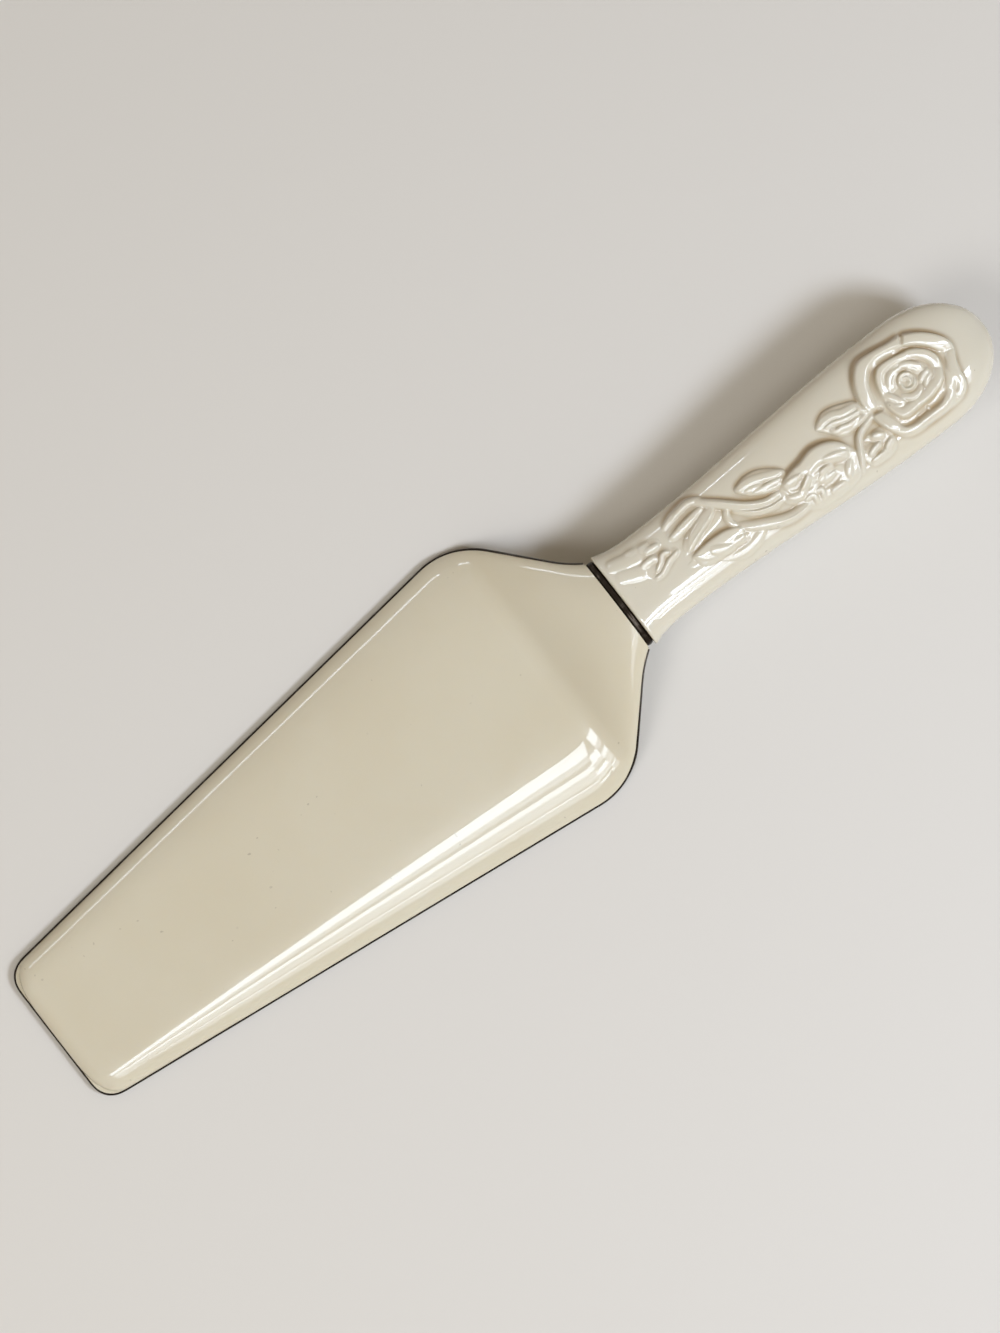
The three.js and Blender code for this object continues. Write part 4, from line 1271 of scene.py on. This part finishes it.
FLOOR_SIZE = 4
FLOOR_DROP = 0.00002
FADE_START = 0.3
FADE_END = 0.9
BLACK = (0, 0, 0, 1)
FLOOR_PALE = (0.72, 0.71, 0.69, 1)
FAR_FLOOR = (0.78, 0.775, 0.755, 1)
BACKDROP = (0.80, 0.80, 0.78, 1)
SKY_NEAR = (0.47, 0.43, 0.365, 1)
SKY_FAR = (0.22, 0.165, 0.10, 1)
SKY_RANGE = (-0.7, 0.8)  # where the sky turns from near to far, along +Y
LAMP_DISTANCE = 1.0

# Soft lamps that light the piece and stay out of its gloss: angle round the piece, angle above the
# table, size, brightness and colour
SOFT_LAMPS = {
    "key_light": (atan2(-0.79, 0.61), radians(45), 0.24, 0.405, (0.93, 1, 1.12)),
    "fill_light": (atan2(-0.1, -1), radians(50), 0.5, 0.25, (1, 0.98, 0.94)),
}

# Strips that only the gloss shows, level and LAMP_DISTANCE up: the angle from overhead where each
# starts and ends towards +Y, where it starts and ends along X, and its brightness
GLOSS_STRIPS = [
    (-11.6, -15.4, -0.46, 0.04, 9),
    (-15.4, -17.6, -0.46, 0.04, 3),
    (-19.4, -22, -0.44, 0.04, 8),
    (-22, -28.5, -0.44, 0.04, 3),
    (-30, -31.6, -0.42, 0.04, 7),
    (-31.6, -39, -0.40, 0.04, 2.4),
    (-16.5, -20, 0.04, 0.17, 9),
    (-20, -22, 0.04, 0.17, 3.5),
    (-24, -27, 0.04, 0.17, 9),
    (-27, -31.5, 0.04, 0.17, 3.5),
    (-33.5, -37, 0.04, 0.17, 7),
    (-16.5, -19.5, 0.17, 0.33, 10),
    (-22.5, -26.5, 0.17, 0.33, 10),
    (-12, -20, 0.37, 0.75, 8),
    (-20, -30, 0.37, 0.75, 2.5),
    (37, 39.5, -0.6, 0, 7),
    (37, 38.5, 0, 0.045, 12),
]
STRIP_COLOUR = (0.88, 0.98, 1.12)

LENS = 70.1
SENSOR = 36
CLIP_START = 0.05
CLIP_END = 20
CAMERA_PLACE = (0.0002, 0.0053, 0.6)
CAMERA_TURN = radians(-37.67)


def shown_plainly(graph):
    """1 for a ray from the camera, straight, mirrored or through glass, and 0 for light on the piece."""
    rays = graph.node("ShaderNodeLightPath")
    camera, glossy, clear = (Value(graph, rays.outputs[f"Is {kind} Ray"])
                             for kind in ("Camera", "Glossy", "Transmission"))
    return held(camera + glossy + clear)


def make_world():
    world = bpy.context.scene.world = bpy.data.worlds.new("surroundings")
    world.use_nodes = True
    graph = Graph(world.node_tree)
    direction = graph.get("ShaderNodeTexCoord", "Generated")
    away = ease(graph.get("ShaderNodeSeparateXYZ", 1, inputs={0: direction}), *SKY_RANGE)
    sky = blended(graph, away, SKY_NEAR, SKY_FAR)
    seen = blended(graph, shown_plainly(graph), sky, BACKDROP)
    feed(graph, world.node_tree.nodes["Background"], color=seen)


def make_floor():
    """Pale floor that fades to the backdrop's own colour far from the server."""
    bpy.ops.mesh.primitive_plane_add(size=FLOOR_SIZE, location=(0, 0, -FLOOR_DROP))
    floor = bpy.context.object
    floor.name = "floor"
    material, graph, shader = finish("floor_paper", {
        "Emission Strength": 1.0, "Roughness": 0.9, "Specular IOR Level": 0.1})
    place = graph.get("ShaderNodeTexCoord", "Object")
    away = graph.get("ShaderNodeVectorMath", 1, {"operation": "LENGTH"}, {0: place})
    far = ease(away, FADE_START, FADE_END)
    glow = blended(graph, far * shown_plainly(graph), BLACK, FAR_FLOOR)
    feed(graph, shader, base_color=blended(graph, far, FLOOR_PALE, BLACK), emission_color=glow)
    floor.data.materials.append(material)


def add_lamp(name, place, turn, size, power, colour):
    lamp = bpy.data.lights.new(name, "AREA")
    lamp.shape = "RECTANGLE"
    lamp.size, lamp.size_y = size
    lamp.energy = power
    lamp.color = colour
    obj = collect(bpy.data.objects.new(name, lamp))
    obj.location = place
    obj.rotation_euler = turn
    obj.visible_camera = False
    return obj


def make_lamps():
    for name, (azimuth, height, size, brightness, colour) in SOFT_LAMPS.items():
        direction = Vector((cos(height) * cos(azimuth), cos(height) * sin(azimuth), sin(height)))
        turn = (-direction).to_track_quat("-Z", "Y").to_euler()
        power = brightness * (pi * LAMP_DISTANCE) ** 2 / sin(height)
        lamp = add_lamp(name, LAMP_DISTANCE * direction, turn, (size, size), power, colour)
        lamp.visible_glossy = False
    for number, (low, high, from_x, to_x, brightness) in enumerate(GLOSS_STRIPS):
        y_low, y_high = (LAMP_DISTANCE * tan(radians(angle)) for angle in (low, high))
        width, depth = to_x - from_x, abs(y_high - y_low)
        place = ((from_x + to_x) / 2, (y_low + y_high) / 2, LAMP_DISTANCE)
        power = brightness * pi * width * depth
        strip = add_lamp(f"gloss_strip_{number}", place, (0, 0, 0), (width, depth), power, STRIP_COLOUR)
        strip.visible_diffuse = False


def make_camera():
    scene = bpy.context.scene
    camera = bpy.data.cameras.new("camera")
    camera.lens, camera.sensor_width = LENS, SENSOR
    camera.clip_start, camera.clip_end = CLIP_START, CLIP_END
    scene.camera = collect(bpy.data.objects.new("camera", camera))
    scene.camera.location = CAMERA_PLACE
    scene.camera.rotation_euler = (0, 0, CAMERA_TURN)
    scene.view_settings.view_transform = "Standard"


def main():
    porcelain = make_porcelain("glazed_porcelain")
    relief = make_porcelain("glazed_relief_porcelain", relief=True)
    platinum = make_platinum()
    make_blade(porcelain)
    make_edge_line(platinum)
    make_neck_band(platinum)
    pool_and_shade_at = make_sprigs(relief)
    make_handle(relief, pool_and_shade_at)
    make_cement_bed(make_cement())
    make_world()
    make_floor()
    make_lamps()
    make_camera()


main()
